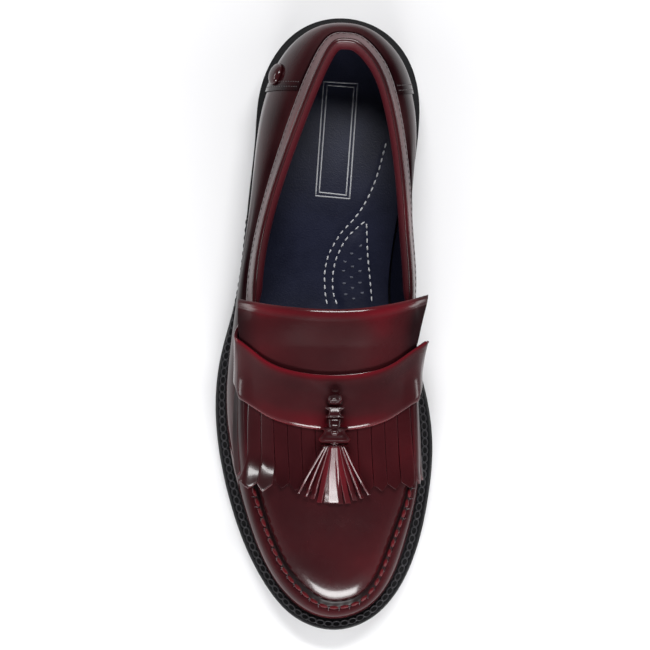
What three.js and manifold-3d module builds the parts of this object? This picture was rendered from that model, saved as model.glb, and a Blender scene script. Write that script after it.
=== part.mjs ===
// A saddle loafer for the right foot, standing empty on its sole: a leather upper with a raised
// moccasin seam, a kiltie with a fringe, a saddle strap, a tassel, a heel counter and a rubber sole.
// Lengths are millimetres. The toe points to -Y, the inner side of the foot to +X, up is +Z.
import * as THREE from "three";
import Module from "manifold-3d";

// Sizes that set the whole shoe.
const soleLength = 298;
const ballWidth = 106.8;
const heelHeight = 20;
const toeSpring = 10.5;
const quarterHeight = 60;
const outsoleThickness = 7;
const weltThickness = 3.5;
const insoleThickness = 4;
const upperWall = 1.8;
const counterThickness = 1.3;
const kiltieThickness = 1.2;
const strapThickness = 1.7;
const gap = 0.3;

// Smaller sizes.
const ridgeHeight = 1.1;
const bandRise = 0.6;
const soleEdge = 1;
const weltSetback = 0.6;
const stripCount = 16;
const slitWidth = 0.5;
const tasselStrips = 11;
const studDiameter = 10;
const studHeight = 3.4;

// Plain helpers.
const clamp = (value, low, high) => Math.min(high, Math.max(low, value));
const mix = (from, to, share) => from + (to - from) * share;
const smooth = (value, low, high) => {
  const share = clamp((value - low) / (high - low), 0, 1);
  return share * share * (3 - 2 * share);
};
const add = (a, b, scale = 1) => a.map((value, i) => value + b[i] * scale);
const between = (a, b, share) => a.map((value, i) => mix(value, b[i], share));
const distance = (a, b) => Math.hypot(...a.map((value, i) => value - b[i]));
const unit = (a) => a.map((value) => value / Math.hypot(...a));
const cross = (a, b) => [
  a[1] * b[2] - a[2] * b[1],
  a[2] * b[0] - a[0] * b[2],
  a[0] * b[1] - a[1] * b[0],
];
const steps = (count) => Array.from({ length: count + 1 }, (_, i) => i / count);

// A smooth curve through values at knots. With a period it closes on itself.
function curveThrough(knots, values, period = 0) {
  const count = knots.length;
  const wrap = (i) => (i + count) % count;
  const spanAfter = (i) => (i === count - 1 ? period - knots[i] + knots[0] : knots[i + 1] - knots[i]);
  const bend = new Array(count).fill(0);
  const first = period ? 0 : 1;
  const last = period ? count : count - 1;
  for (let pass = 0; pass < 90; pass++) {
    for (let i = first; i < last; i++) {
      const before = spanAfter(wrap(i - 1));
      const after = spanAfter(i);
      const turn = (values[wrap(i + 1)] - values[i]) / after - (values[i] - values[wrap(i - 1)]) / before;
      bend[i] = (6 * turn - before * bend[wrap(i - 1)] - after * bend[wrap(i + 1)]) / (2 * (before + after));
    }
  }
  return (where) => {
    let at = where;
    if (period) at = knots[0] + ((((at - knots[0]) % period) + period) % period);
    else at = clamp(at, knots[0], knots[count - 1]);
    let i = period ? count - 1 : count - 2;
    while (i > 0 && knots[i] > at) i--;
    const span = spanAfter(i);
    const right = (at - knots[i]) / span;
    const left = 1 - right;
    const curl = (left ** 3 - left) * bend[i] + (right ** 3 - right) * bend[wrap(i + 1)];
    return left * values[i] + right * values[wrap(i + 1)] + (curl * span * span) / 6;
  };
}

// Curves of a table whose first column holds the knots.
function tableCurves(rows) {
  const knots = rows.map((row) => row[0]);
  return rows[0].slice(1).map((_, column) => curveThrough(knots, rows.map((row) => row[column + 1])));
}

// The bottom of the sole along its length: share of sole length, share of heel height, share of toe spring.
const soleProfile = [
  [0, 1, 0],
  [0.15, 0.93, 0],
  [0.3, 0.77, 0],
  [0.37, 0.49, 0],
  [0.44, 0.2, 0],
  [0.5, 0.045, 0],
  [0.55, -0.01, -0.01],
  [0.72, -0.01, -0.01],
  [0.8, 0, 0.11],
  [0.89, 0, 0.38],
  [0.955, 0, 0.71],
  [1, 0, 1],
];
const [heelRise, toeRise] = tableCurves(soleProfile);
const rocker = (along) =>
  Math.max(0, heelHeight * heelRise(along / soleLength) + toeSpring * toeRise(along / soleLength));
const outsoleTop = (along) => rocker(along) + outsoleThickness;

// Rays around the foot, from the back of the heel over the inner side to the toe and back.
// Shares of sole length: soleAlong, seamAlong, collarAlong. Shares of quarter height: the columns
// with Up or Down. Shares of ball width: the rest. facing is in degrees, 0 towards the inner side.
const rayColumns = [
  "soleAlong", "soleAcross", "inset", "facing",
  "seamAlong", "seamAcross", "seamUp",
  "collarAlong", "collarAcross", "collarUp",
  "shoulderOut", "shoulderDown", "bulgeOut", "bulgeUp",
];
const rays = [
  [0, 0, 0.078, -90, 0.043, 0.022, 0.895, 0.054, 0.023, 0.987, 0.042, 0.27, 0.075, 0.25],
  [0.02, 0.19, 0.075, -58, 0.052, 0.103, 0.892, 0.062, 0.088, 0.985, 0.042, 0.27, 0.073, 0.25],
  [0.062, 0.301, 0.066, -33, 0.086, 0.187, 0.873, 0.092, 0.161, 0.967, 0.037, 0.25, 0.068, 0.25],
  [0.123, 0.356, 0.05, -12, 0.136, 0.243, 0.823, 0.138, 0.215, 0.917, 0.037, 0.23, 0.054, 0.23],
  [0.196, 0.354, 0.031, 0, 0.199, 0.281, 0.737, 0.199, 0.255, 0.832, 0.033, 0.22, 0.05, 0.22],
  [0.278, 0.322, 0.019, 0, 0.278, 0.309, 0.657, 0.278, 0.287, 0.753, 0.021, 0.2, 0.034, 0.2],
  [0.36, 0.28, 0.011, 0, 0.36, 0.327, 0.683, 0.36, 0.307, 0.782, 0.012, 0.18, 0.042, 0.2],
  [0.429, 0.259, 0.009, 0, 0.429, 0.34, 0.767, 0.429, 0.323, 0.873, 0.006, 0.18, 0.056, 0.22],
  [0.491, 0.274, 0.014, 0, 0.491, 0.333, 0.82, 0.487, 0.312, 0.93, 0.008, 0.2, 0.056, 0.22],
  [0.548, 0.349, 0.051, 0, 0.548, 0.327, 0.828, 0.503, 0.234, 1.1, 0.014, 0.2, 0.047, 0.2],
  [0.609, 0.407, 0.071, 0, 0.609, 0.331, 0.8, 0.508, 0.15, 1.15, 0.023, 0.17, 0.039, 0.18],
  [0.696, 0.441, 0.084, 0, 0.696, 0.335, 0.737, 0.511, 0.084, 1.17, 0.036, 0.13, 0.043, 0.17],
  [0.786, 0.422, 0.087, 4, 0.773, 0.319, 0.665, 0.512, 0.037, 1.18, 0.047, 0.11, 0.042, 0.15],
  [0.867, 0.372, 0.087, 22, 0.846, 0.254, 0.573, 0.5125, 0.005, 1.18, 0.051, 0.09, 0.051, 0.13],
  [0.933, 0.29, 0.086, 45, 0.906, 0.191, 0.487, 0.513, -0.014, 1.18, 0.051, 0.083, 0.057, 0.12],
  [0.977, 0.18, 0.085, 68, 0.941, 0.118, 0.425, 0.513, -0.023, 1.18, 0.049, 0.083, 0.057, 0.11],
  [1, 0, 0.084, 90, 0.954, 0.004, 0.407, 0.513, -0.03, 1.18, 0.049, 0.083, 0.061, 0.11],
  [0.977, -0.199, 0.085, 112, 0.941, -0.106, 0.425, 0.513, -0.037, 1.18, 0.049, 0.083, 0.066, 0.11],
  [0.933, -0.313, 0.086, 135, 0.906, -0.205, 0.487, 0.513, -0.047, 1.18, 0.051, 0.083, 0.073, 0.12],
  [0.867, -0.4155, 0.087, 158, 0.846, -0.292, 0.568, 0.5125, -0.066, 1.18, 0.054, 0.09, 0.071, 0.13],
  [0.786, -0.495, 0.087, 176, 0.773, -0.359, 0.65, 0.512, -0.096, 1.18, 0.056, 0.11, 0.062, 0.15],
  [0.696, -0.548, 0.084, 180, 0.696, -0.398, 0.715, 0.511, -0.142, 1.17, 0.056, 0.12, 0.074, 0.17],
  [0.609, -0.559, 0.079, 180, 0.609, -0.412, 0.765, 0.508, -0.206, 1.15, 0.047, 0.16, 0.076, 0.18],
  [0.548, -0.536, 0.071, 180, 0.548, -0.412, 0.795, 0.503, -0.29, 1.1, 0.037, 0.18, 0.077, 0.18],
  [0.491, -0.495, 0.054, 180, 0.491, -0.412, 0.783, 0.487, -0.367, 0.9, 0.033, 0.2, 0.077, 0.2],
  [0.429, -0.456, 0.042, 180, 0.429, -0.403, 0.733, 0.429, -0.377, 0.84, 0.03, 0.18, 0.077, 0.18],
  [0.36, -0.4315, 0.037, 180, 0.36, -0.375, 0.653, 0.36, -0.351, 0.752, 0.033, 0.18, 0.065, 0.18],
  [0.278, -0.409, 0.032, 180, 0.278, -0.318, 0.635, 0.278, -0.292, 0.732, 0.042, 0.2, 0.055, 0.2],
  [0.196, -0.386, 0.031, 180, 0.197, -0.247, 0.725, 0.199, -0.215, 0.82, 0.051, 0.22, 0.064, 0.22],
  [0.123, -0.368, 0.05, 192, 0.132, -0.181, 0.818, 0.137, -0.148, 0.912, 0.051, 0.23, 0.069, 0.23],
  [0.062, -0.301, 0.066, 213, 0.081, -0.118, 0.87, 0.089, -0.09, 0.965, 0.047, 0.25, 0.081, 0.25],
  [0.02, -0.19, 0.075, 238, 0.049, -0.056, 0.892, 0.06, -0.039, 0.985, 0.044, 0.27, 0.08, 0.25],
];
const toeRay = 16;

// Every column as a closed curve over the distance travelled around the sole's outline.
const outlineCorners = rays.map((row) => [row[0] * soleLength, row[1] * ballWidth]);
const rayKnots = [0];
outlineCorners.forEach((corner, i) => {
  rayKnots.push(rayKnots[i] + distance(corner, outlineCorners[(i + 1) % rays.length]));
});
const rayPeriod = rayKnots.pop();
const rayCurves = rayColumns.map((_, column) =>
  curveThrough(rayKnots, rays.map((row) => row[column]), rayPeriod),
);
const rayValue = (name, ray) => rayCurves[rayColumns.indexOf(name)](ray);
const turnAcross = curveThrough(rayKnots, rays.map((row) => Math.cos((row[3] * Math.PI) / 180)), rayPeriod);
const turnAlong = curveThrough(rayKnots, rays.map((row) => Math.sin((row[3] * Math.PI) / 180)), rayPeriod);
const facingOf = (ray) => unit([turnAlong(ray), turnAcross(ray), 0]);

// Evenly shared rays, a few between each two rows of the table and more around the forepart.
function raysFor(perRow, perForepartRow = perRow) {
  const list = [];
  rayKnots.forEach((knot, i) => {
    const next = i + 1 < rayKnots.length ? rayKnots[i + 1] : rayPeriod;
    const share = Math.abs(i + 0.5 - toeRay) < 7 ? perForepartRow : perRow;
    for (let k = 0; k < share; k++) list.push(mix(knot, next, k / share));
  });
  return list;
}

// Points are [along from the back of the heel, across, up].
function outlinePoint(ray, inset, up) {
  const edge = [rayValue("soleAlong", ray) * soleLength, rayValue("soleAcross", ray) * ballWidth, 0];
  const point = add(edge, facingOf(ray), -inset);
  return [point[0], point[1], up === undefined ? 0 : up(point[0])];
}

function seamPoint(ray) {
  const along = rayValue("seamAlong", ray) * soleLength;
  const up = outsoleTop(along) + rayValue("seamUp", ray) * quarterHeight;
  return [along, rayValue("seamAcross", ray) * ballWidth, up];
}

function collarPoint(ray) {
  const along = rayValue("collarAlong", ray) * soleLength;
  const up = outsoleTop(along) + rayValue("collarUp", ray) * quarterHeight;
  return [along, rayValue("collarAcross", ray) * ballWidth, up];
}

function featherPoint(ray) {
  return outlinePoint(ray, rayValue("inset", ray) * ballWidth, (along) => outsoleTop(along) + gap);
}

// The wall below the seam is a curve with a shoulder at its top and a bulge above the welt.
function wallHandles(ray) {
  const facing = facingOf(ray);
  const top = seamPoint(ray);
  const foot = featherPoint(ray);
  const shoulder = add(top, facing, rayValue("shoulderOut", ray) * ballWidth);
  shoulder[2] -= rayValue("shoulderDown", ray) * quarterHeight;
  const bulge = add(foot, facing, rayValue("bulgeOut", ray) * ballWidth);
  bulge[2] += rayValue("bulgeUp", ray) * quarterHeight;
  return [top, shoulder, bulge, foot];
}

function wallPoint(ray, share) {
  const rest = 1 - share;
  const weights = [rest ** 3, 3 * rest * rest * share, 3 * rest * share * share, share ** 3];
  const handles = wallHandles(ray);
  return [0, 1, 2].map((axis) => handles.reduce((sum, handle, i) => sum + handle[axis] * weights[i], 0));
}

// The ray of one side, 1 inner and -1 outer, on which a measure that grows towards the toe has a value.
function findRay(side, measure, value) {
  let heelward = side > 0 ? 0 : rayPeriod;
  let toeward = rayKnots[toeRay];
  for (let pass = 0; pass < 40; pass++) {
    const middle = (heelward + toeward) / 2;
    if (measure(middle) < value) heelward = middle;
    else toeward = middle;
  }
  return (heelward + toeward) / 2;
}
const seamRay = (side, along) => findRay(side, (ray) => rayValue("seamAlong", ray) * soleLength, along);

// The top of the instep along the middle: share of sole length, share of quarter height.
const spineProfile = [
  [0.42, 1.3],
  [0.47, 1.247],
  [0.51, 1.183],
  [0.584, 1.042],
  [0.664, 0.9],
  [0.765, 0.762],
  [0.839, 0.663],
  [0.899, 0.558],
  [0.933, 0.477],
  [0.954, 0.407],
];
const [spineUp] = tableCurves(spineProfile);
const spineHeight = (along) => outsoleTop(along) + spineUp(along / soleLength) * quarterHeight;

// The seam's two sides at a place along the shoe.
const seamMemory = new Map();
function seamSides(along) {
  const held = clamp(along, 0.3 * soleLength, 0.9535 * soleLength);
  const key = held.toFixed(3);
  if (!seamMemory.has(key)) {
    const rayIn = seamRay(1, held);
    const rayOut = seamRay(-1, held);
    seamMemory.set(key, { rayIn, rayOut, inner: seamPoint(rayIn), outer: seamPoint(rayOut) });
  }
  return seamMemory.get(key);
}

// The apron between the seams: a crown from side to side under the spine's height.
function apronHeight(along, across) {
  const { inner, outer } = seamSides(along);
  const middle = (inner[1] + outer[1]) / 2;
  const half = (inner[1] - outer[1]) / 2;
  const share = clamp((across - middle) / half, -1, 1);
  const base = mix(outer[2], inner[2], (share + 1) / 2);
  const crown = spineHeight(along) - (inner[2] + outer[2]) / 2;
  return base + crown * (1 - Math.abs(share) ** 2.1);
}

// The upper's skin: share 0 collar, 1 seam, 2 foot of the wall. Between these two places along
// the shoe the collar band turns into the crowned apron.
const apronFrom = 0.443 * soleLength;
const apronUntil = 0.51 * soleLength;

function skin(ray, share) {
  if (share >= 1) return wallPoint(ray, share - 1);
  const seam = seamPoint(ray);
  const point = between(collarPoint(ray), seam, share);
  const apron = smooth(seam[0], apronFrom, apronUntil);
  if (apron > 0) point[2] = mix(point[2], apronHeight(point[0], point[1]), apron);
  return point;
}

function skinFacing(ray, share) {
  const low = clamp(share - 0.02, 0, 2);
  const high = clamp(share + 0.02, 0, 2);
  const aroundShoe = add(skin(ray + 1, share), skin(ray - 1, share), -1);
  const downWall = add(skin(ray, high), skin(ray, low), -1);
  return unit(cross(aroundShoe, downWall));
}

// The same skin addressed for the pieces that lie over it: a place along the shoe and a share
// across it, 0 the middle, 1 the inner seam, 2 the foot of the inner wall, below 0 the outer side.
function place(along, share) {
  const { rayIn, rayOut, inner, outer } = seamSides(along);
  const size = Math.abs(share);
  if (size > 1) return wallPoint(share > 0 ? rayIn : rayOut, size - 1);
  const middle = (inner[1] + outer[1]) / 2;
  const across = mix(middle, share > 0 ? inner[1] : outer[1], size);
  return [along, across, apronHeight(along, across)];
}

function placeFacing(along, share) {
  const lengthwise = add(place(along + 2, share), place(along - 2, share), -1);
  const crosswise = add(place(along, Math.min(2, share + 0.05)), place(along, Math.max(-2, share - 0.05)), -1);
  return unit(cross(lengthwise, crosswise));
}

// The share across that lies a girth away from the middle, measured over the skin.
const girthMemory = new Map();
function shareAt(along, girth) {
  const side = girth < 0 ? -1 : 1;
  const key = along.toFixed(3) + "/" + side;
  if (!girthMemory.has(key)) {
    const lengths = [0];
    let last = place(along, 0);
    for (let i = 1; i <= 60; i++) {
      const next = place(along, (side * i) / 30);
      lengths.push(lengths[i - 1] + distance(last, next));
      last = next;
    }
    girthMemory.set(key, lengths);
  }
  const lengths = girthMemory.get(key);
  const wanted = clamp(Math.abs(girth), 0, lengths[60] - 0.001);
  let i = 0;
  while (lengths[i + 1] < wanted) i++;
  return (side * (i + (wanted - lengths[i]) / (lengths[i + 1] - lengths[i]))) / 30;
}

// Collects faces and turns them into a mesh in the part's own frame.
const insideExtreme = Math.max(...raysFor(12).map((ray) => outlinePoint(ray, 0)[1]));
const outsideExtreme = Math.min(...raysFor(12).map((ray) => outlinePoint(ray, 0)[1]));
const centreShift = -(insideExtreme + outsideExtreme) / 2;
const toWorld = (point) => [point[1] + centreShift, soleLength / 2 - point[0], point[2]];

function meshData(points, faces) {
  const corners = points.map(toWorld);
  const volume = faces.reduce((sum, [a, b, c]) => {
    const turned = cross(corners[b], corners[c]);
    return sum + corners[a][0] * turned[0] + corners[a][1] * turned[1] + corners[a][2] * turned[2];
  }, 0);
  const facesOut = volume < 0 ? faces.map(([a, b, c]) => [a, c, b]) : faces;
  return { corners, faces: facesOut };
}

// A sheet with thickness from two grids of points. A cell that isn't filled stays open.
function sheet(outer, inner, closed = false, filled = () => true) {
  const rows = outer.length;
  const columns = outer[0].length;
  const lastColumn = closed ? columns : columns - 1;
  const out = (r, c) => r * columns + (c % columns);
  const back = (r, c) => rows * columns + out(r, c);
  const cell = (r, c) => {
    const column = closed ? (c + columns) % columns : c;
    return r >= 0 && r < rows - 1 && column >= 0 && column < lastColumn && filled(r, column);
  };
  const faces = [];
  const quad = (a, b, c, d) => faces.push([a, b, c], [a, c, d]);
  for (let r = 0; r < rows - 1; r++) {
    for (let c = 0; c < lastColumn; c++) {
      if (!cell(r, c)) continue;
      quad(out(r, c), out(r, c + 1), out(r + 1, c + 1), out(r + 1, c));
      quad(back(r, c), back(r + 1, c), back(r + 1, c + 1), back(r, c + 1));
      if (!cell(r - 1, c)) quad(out(r, c + 1), out(r, c), back(r, c), back(r, c + 1));
      if (!cell(r + 1, c)) quad(out(r + 1, c), out(r + 1, c + 1), back(r + 1, c + 1), back(r + 1, c));
      if (!cell(r, c - 1)) quad(out(r, c), out(r + 1, c), back(r + 1, c), back(r, c));
      if (!cell(r, c + 1)) quad(out(r + 1, c + 1), out(r, c + 1), back(r, c + 1), back(r + 1, c + 1));
    }
  }
  return meshData([...outer.flat(), ...inner.flat()], faces);
}

// A bar from rings of equal length, closed at both ends.
function bar(rings) {
  const size = rings[0].length;
  const points = rings.flat();
  const faces = [];
  for (let r = 0; r + 1 < rings.length; r++) {
    for (let i = 0; i < size; i++) {
      const next = (i + 1) % size;
      faces.push([r * size + i, r * size + next, (r + 1) * size + next]);
      faces.push([r * size + i, (r + 1) * size + next, (r + 1) * size + i]);
    }
  }
  for (const r of [0, rings.length - 1]) {
    const middle = points.length;
    points.push([0, 1, 2].map((axis) => rings[r].reduce((sum, point) => sum + point[axis] / size, 0)));
    for (let i = 0; i < size; i++) {
      const pair = [r * size + ((i + 1) % size), r * size + i];
      faces.push([middle, ...(r === 0 ? pair : pair.reverse())]);
    }
  }
  return meshData(points, faces);
}

const wasm = await Module();
wasm.setup();
function solidOf({ corners, faces }) {
  const vertProperties = new Float32Array(corners.flat());
  const triVerts = new Uint32Array(faces.flat());
  return new wasm.Manifold(new wasm.Mesh({ numProp: 3, vertProperties, triVerts }));
}

const shoe = new THREE.Group();
shoe.name = "saddle_loafer";
const leatherRed = { color: 0x4a1218, roughness: 0.25, metalness: 0 };
const rubberBlack = { color: 0x17171a, roughness: 0.7, metalness: 0 };
const liningNavy = { color: 0x1c2338, roughness: 0.6, metalness: 0 };

function addPiece(name, { corners, faces }, look) {
  const geometry = new THREE.BufferGeometry();
  geometry.setAttribute("position", new THREE.Float32BufferAttribute(corners.flat(), 3));
  geometry.setIndex(faces.flat());
  geometry.computeVertexNormals();
  const mesh = new THREE.Mesh(geometry, new THREE.MeshStandardMaterial({ ...look, name }));
  mesh.name = name;
  shoe.add(mesh);
}

function joined(pieces) {
  const whole = pieces.map(solidOf).reduce((sum, piece) => sum.add(piece));
  const made = whole.getMesh();
  const corners = [];
  for (let i = 0; i < made.numVert; i++) {
    corners.push([...made.vertProperties.subarray(i * made.numProp, i * made.numProp + 3)]);
  }
  const faces = [];
  for (let i = 0; i < made.triVerts.length; i += 3) faces.push([...made.triVerts.subarray(i, i + 3)]);
  return { corners, faces };
}

// Upper: one hollow leather solid, open at the collar and underneath. The rows beside the seam
// carry the raised moccasin ridge at the forepart and the edge of the collar band behind.
const apronRows = 6;
const wallRows = 5;
const ridgeFrom = 0.72 * soleLength;
const ridgeUntil = 0.765 * soleLength;
const ridgeShare = (ray) => smooth(rayValue("seamAlong", ray) * soleLength, ridgeFrom, ridgeUntil);
const bandUntil = [0.47 * soleLength, 0.51 * soleLength];
const bandShare = (ray) => 1 - smooth(rayValue("seamAlong", ray) * soleLength, ...bandUntil);
const ridgeSide = 0.9;
const ridgeFoot = 2.4;

function upperRows(ray) {
  const topLength = distance(collarPoint(ray), seamPoint(ray));
  const [top, shoulder] = wallHandles(ray);
  const startPace = 3 * distance(top, shoulder);
  const band = bandShare(ray) * bandRise;
  const ridge = ridgeShare(ray) * ridgeHeight;
  const rows = [];
  for (let i = 0; i < apronRows; i++) {
    rows.push({ share: ((1 - ridgeFoot / topLength) * i) / (apronRows - 1), relief: band });
  }
  rows.push({ share: 1 - ridgeSide / topLength, relief: Math.max(band, ridge) });
  rows.push({ share: 1 + ridgeSide / startPace, relief: ridge });
  const wallStart = 1 + ridgeFoot / startPace;
  for (let i = 0; i <= wallRows; i++) {
    rows.push({ share: mix(wallStart, 2, i / wallRows), relief: 0 });
  }
  return rows;
}

function buildUpper() {
  const upperRays = raysFor(2, 3);
  const outer = [];
  const inner = [];
  upperRays.forEach((ray) => {
    upperRows(ray).forEach(({ share, relief }, r) => {
      const point = skin(ray, share);
      const facing = skinFacing(ray, share);
      const behind = add(point, facing, -upperWall);
      if (share > 1.999) behind[2] = point[2];
      (outer[r] ??= []).push(add(point, facing, relief));
      (inner[r] ??= []).push(behind);
    });
  });
  addPiece("upper", sheet(outer, inner, true), leatherRed);
}

// Outsole: a plate that follows the arch and the toe spring.
function pairAt(along, inset = 0) {
  const measure = (ray) => outlinePoint(ray, inset)[0];
  return [findRay(-1, measure, along), findRay(1, measure, along)];
}

function buildOutsole() {
  const rings = steps(52).map((share) => {
    const along = (soleLength * (1 - Math.cos(Math.PI * clamp(share, 0.009, 0.991)))) / 2;
    const [rayOut, rayIn] = pairAt(along);
    return [
      outlinePoint(rayOut, soleEdge, rocker),
      outlinePoint(rayIn, soleEdge, rocker),
      outlinePoint(rayIn, 0, (at) => rocker(at) + soleEdge),
      outlinePoint(rayIn, 0, (at) => outsoleTop(at) - soleEdge / 2),
      outlinePoint(rayIn, soleEdge / 2, outsoleTop),
      outlinePoint(rayOut, soleEdge / 2, outsoleTop),
      outlinePoint(rayOut, 0, (at) => outsoleTop(at) - soleEdge / 2),
      outlinePoint(rayOut, 0, (at) => rocker(at) + soleEdge),
    ];
  });
  addPiece("outsole", bar(rings), rubberBlack);
}

// Heel: a block with a curved front that leans across the shoe.
const breastAlong = (across) => {
  const from = (across + 7) / ballWidth;
  return soleLength * 0.283 + ballWidth * (0.114 * from + 0.53 * from * from);
};

function buildHeel() {
  const columns = 4;
  const rings = steps(20).map((step) => {
    const share = Math.sin((Math.PI / 2) * clamp(step, 0.03, 1)) ** 2 * 0.35 + step * 0.65 + 0.0002;
    const measure = (ray) => {
      const point = outlinePoint(ray, 0);
      return point[0] - share * breastAlong(point[1]);
    };
    const rayOut = findRay(-1, measure, 0);
    const rayIn = findRay(1, measure, 0);
    const across = (inset, up) => {
      const from = outlinePoint(rayOut, inset);
      const to = outlinePoint(rayIn, inset);
      return steps(columns).map((part) => {
        const point = between(from, to, part);
        const bow = share * (breastAlong(point[1]) - mix(breastAlong(from[1]), breastAlong(to[1]), part));
        const along = point[0] + bow;
        return [along, point[1], up(along)];
      });
    };
    const low = across(soleEdge * 1.4, () => 0);
    const edge = across(0.3, () => soleEdge * 1.4);
    const high = across(0.3, (along) => rocker(along) - gap);
    return [...low, edge[columns], ...high.reverse(), edge[0]];
  });
  addPiece("heel", bar(rings), rubberBlack);
}

// Welt: a strip on the outsole around the foot, from the outer side behind the waist to the inner waist.
const weltStart = 0.322 * soleLength;
const weltEnd = 0.537 * soleLength;
function wallReach(ray, height) {
  const foot = featherPoint(ray);
  const facing = facingOf(ray);
  let reach = 0;
  for (const share of steps(24)) {
    const point = wallPoint(ray, 1 - share * 0.5);
    if (point[2] > foot[2] + height) break;
    const offset = add(point, foot, -1);
    reach = Math.max(reach, offset[0] * facing[0] + offset[1] * facing[1]);
  }
  return rayValue("inset", ray) * ballWidth - reach;
}

function buildWelt() {
  const along = (ray) => outlinePoint(ray, 0)[0];
  const from = findRay(1, along, weltEnd);
  const to = findRay(-1, along, weltStart);
  const base = (at) => outsoleTop(at) + gap;
  const top = (at) => base(at) + weltThickness;
  const rings = steps(68).map((share) => {
    const ray = mix(from, to, share);
    const innerInset = wallReach(ray, weltThickness + 1.5) - gap * 1.4;
    return [
      outlinePoint(ray, weltSetback, base),
      outlinePoint(ray, weltSetback, (at) => top(at) - 0.8),
      outlinePoint(ray, weltSetback + 0.8, top),
      outlinePoint(ray, innerInset, top),
      outlinePoint(ray, innerInset, base),
    ];
  });
  addPiece("welt", bar(rings), rubberBlack);
}

// Insole: a padded board inside the foot of the wall.
function buildInsole() {
  const clearance = upperWall + 1.1;
  const insoleInset = (ray) => rayValue("inset", ray) * ballWidth + clearance;
  const base = (at) => outsoleTop(at) + gap;
  const top = (at) => base(at) + insoleThickness;
  const reach = (ray) => outlinePoint(ray, insoleInset(ray))[0];
  const start = reach(0) + 0.05;
  const end = reach(rayKnots[toeRay]) - 0.05;
  const rings = steps(38).map((share) => {
    const along = mix(start, end, (1 - Math.cos(Math.PI * share)) / 2);
    const rayOut = findRay(-1, reach, along);
    const rayIn = findRay(1, reach, along);
    const insetOut = insoleInset(rayOut);
    const insetIn = insoleInset(rayIn);
    return [
      outlinePoint(rayOut, insetOut, base),
      outlinePoint(rayIn, insetIn, base),
      outlinePoint(rayIn, insetIn, (at) => top(at) - 1),
      outlinePoint(rayIn, insetIn + 1, top),
      outlinePoint(rayOut, insetOut + 1, top),
      outlinePoint(rayOut, insetOut, (at) => top(at) - 1),
    ];
  });
  addPiece("insole", bar(rings), liningNavy);
}

// Heel counter: a leather piece over the back of the upper, below the collar band.
const counterRays = [rayKnots[29] - rayPeriod, rayKnots[3]];
const counterTop = 1.7;
const counterFoot = 1.93;
const counterLift = gap + 0.35;

function buildCounter() {
  const outer = [];
  const inner = [];
  steps(18).forEach((share) => {
    const ray = mix(counterRays[0], counterRays[1], share);
    const [top, shoulder] = wallHandles(ray);
    const from = 1 + counterTop / (3 * distance(top, shoulder));
    steps(5).forEach((part, r) => {
      const down = mix(from, counterFoot, part);
      const point = skin(ray, down);
      const facing = skinFacing(ray, down);
      (outer[r] ??= []).push(add(point, facing, counterLift + counterThickness));
      (inner[r] ??= []).push(add(point, facing, counterLift));
    });
  });
  addPiece("heel_counter", sheet(outer, inner), leatherRed);
}

// Stud: a plain dome on the outer side of the counter.
const studRay = mix(rayKnots[29], rayKnots[30], 0.42);
const studDown = 1.55;
const domeProfile = [
  [1, 0],
  [1, 0.28],
  [0.9, 0.56],
  [0.66, 0.84],
  [0.3, 1],
];

function buildStud() {
  const facing = skinFacing(studRay, studDown);
  const sideways = unit(cross(facing, [0, 0, 1]));
  const upward = cross(sideways, facing);
  const seat = add(skin(studRay, studDown), facing, counterLift + counterThickness + gap);
  const rings = domeProfile.map(([radiusShare, heightShare]) =>
    steps(20).slice(1).map((share) => {
      const angle = 2 * Math.PI * share;
      const radius = (radiusShare * studDiameter) / 2;
      const centre = add(seat, facing, heightShare * studHeight);
      return add(add(centre, sideways, radius * Math.cos(angle)), upward, radius * Math.sin(angle));
    }),
  );
  addPiece("heel_stud", bar(rings), leatherRed);
}

// Kiltie: a flap over the instep whose lower end is cut into a fringe. It stands free of the
// collar at its upper end and lies on the skin from the strap down.
const flapReach = 0.421 * ballWidth;
const flapMiddle = -0.025 * ballWidth;
const fringeReach = (side) => (side > 0 ? 0.49 : 0.495) * ballWidth;
const flapLift = 2;
const wingUp = 0.975;
const stripPoint = 3.2;
const creaseLift = 0.8;
const creaseReach = 8;
const coverGap = gap + 0.05;
const freeFrom = 0.497 * soleLength;
const freeUntil = 0.545 * soleLength;

function girthAt(along, share) {
  shareAt(along, share < 0 ? -1 : 1);
  const lengths = girthMemory.get(along.toFixed(3) + "/" + (share < 0 ? -1 : 1));
  const at = clamp(Math.abs(share) * 30, 0, 59.999);
  const i = Math.floor(at);
  return Math.sign(share) * mix(lengths[i], lengths[i + 1], at - i);
}

function kiltieReach(along, side) {
  return mix(flapReach, fringeReach(side), smooth(along / soleLength, 0.54, 0.62));
}

function flapPoint(along, girth) {
  const share = girth / flapReach;
  const top = spineHeight(along) + flapLift;
  const wing = outsoleTop(along) + wingUp * quarterHeight;
  return [along, flapMiddle + flapReach * share, mix(top, wing, Math.abs(share) ** 2.2)];
}

// The underside of the kiltie, with a lift above it.
function cover(along, girth, lift) {
  const share = shareAt(along, girth);
  const size = Math.abs(girth);
  const fromSeam = Math.abs(size - Math.abs(girthAt(along, girth < 0 ? -1 : 1)));
  const overCrease = creaseLift * (1 - smooth(fromSeam, 0, creaseReach));
  const rise = coverGap + lift + overCrease + ridgeHeight * smooth(along, ridgeFrom, ridgeUntil);
  const laid = add(place(along, share), placeFacing(along, share), rise);
  const pastWing = smooth(size, flapReach + 1, flapReach + 5);
  const free = (1 - smooth(along, freeFrom, freeUntil)) * (1 - pastWing);
  if (free === 0) return laid;
  const wing = flapPoint(along, girth);
  wing[2] += lift;
  return between(laid, wing, free);
}

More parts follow.
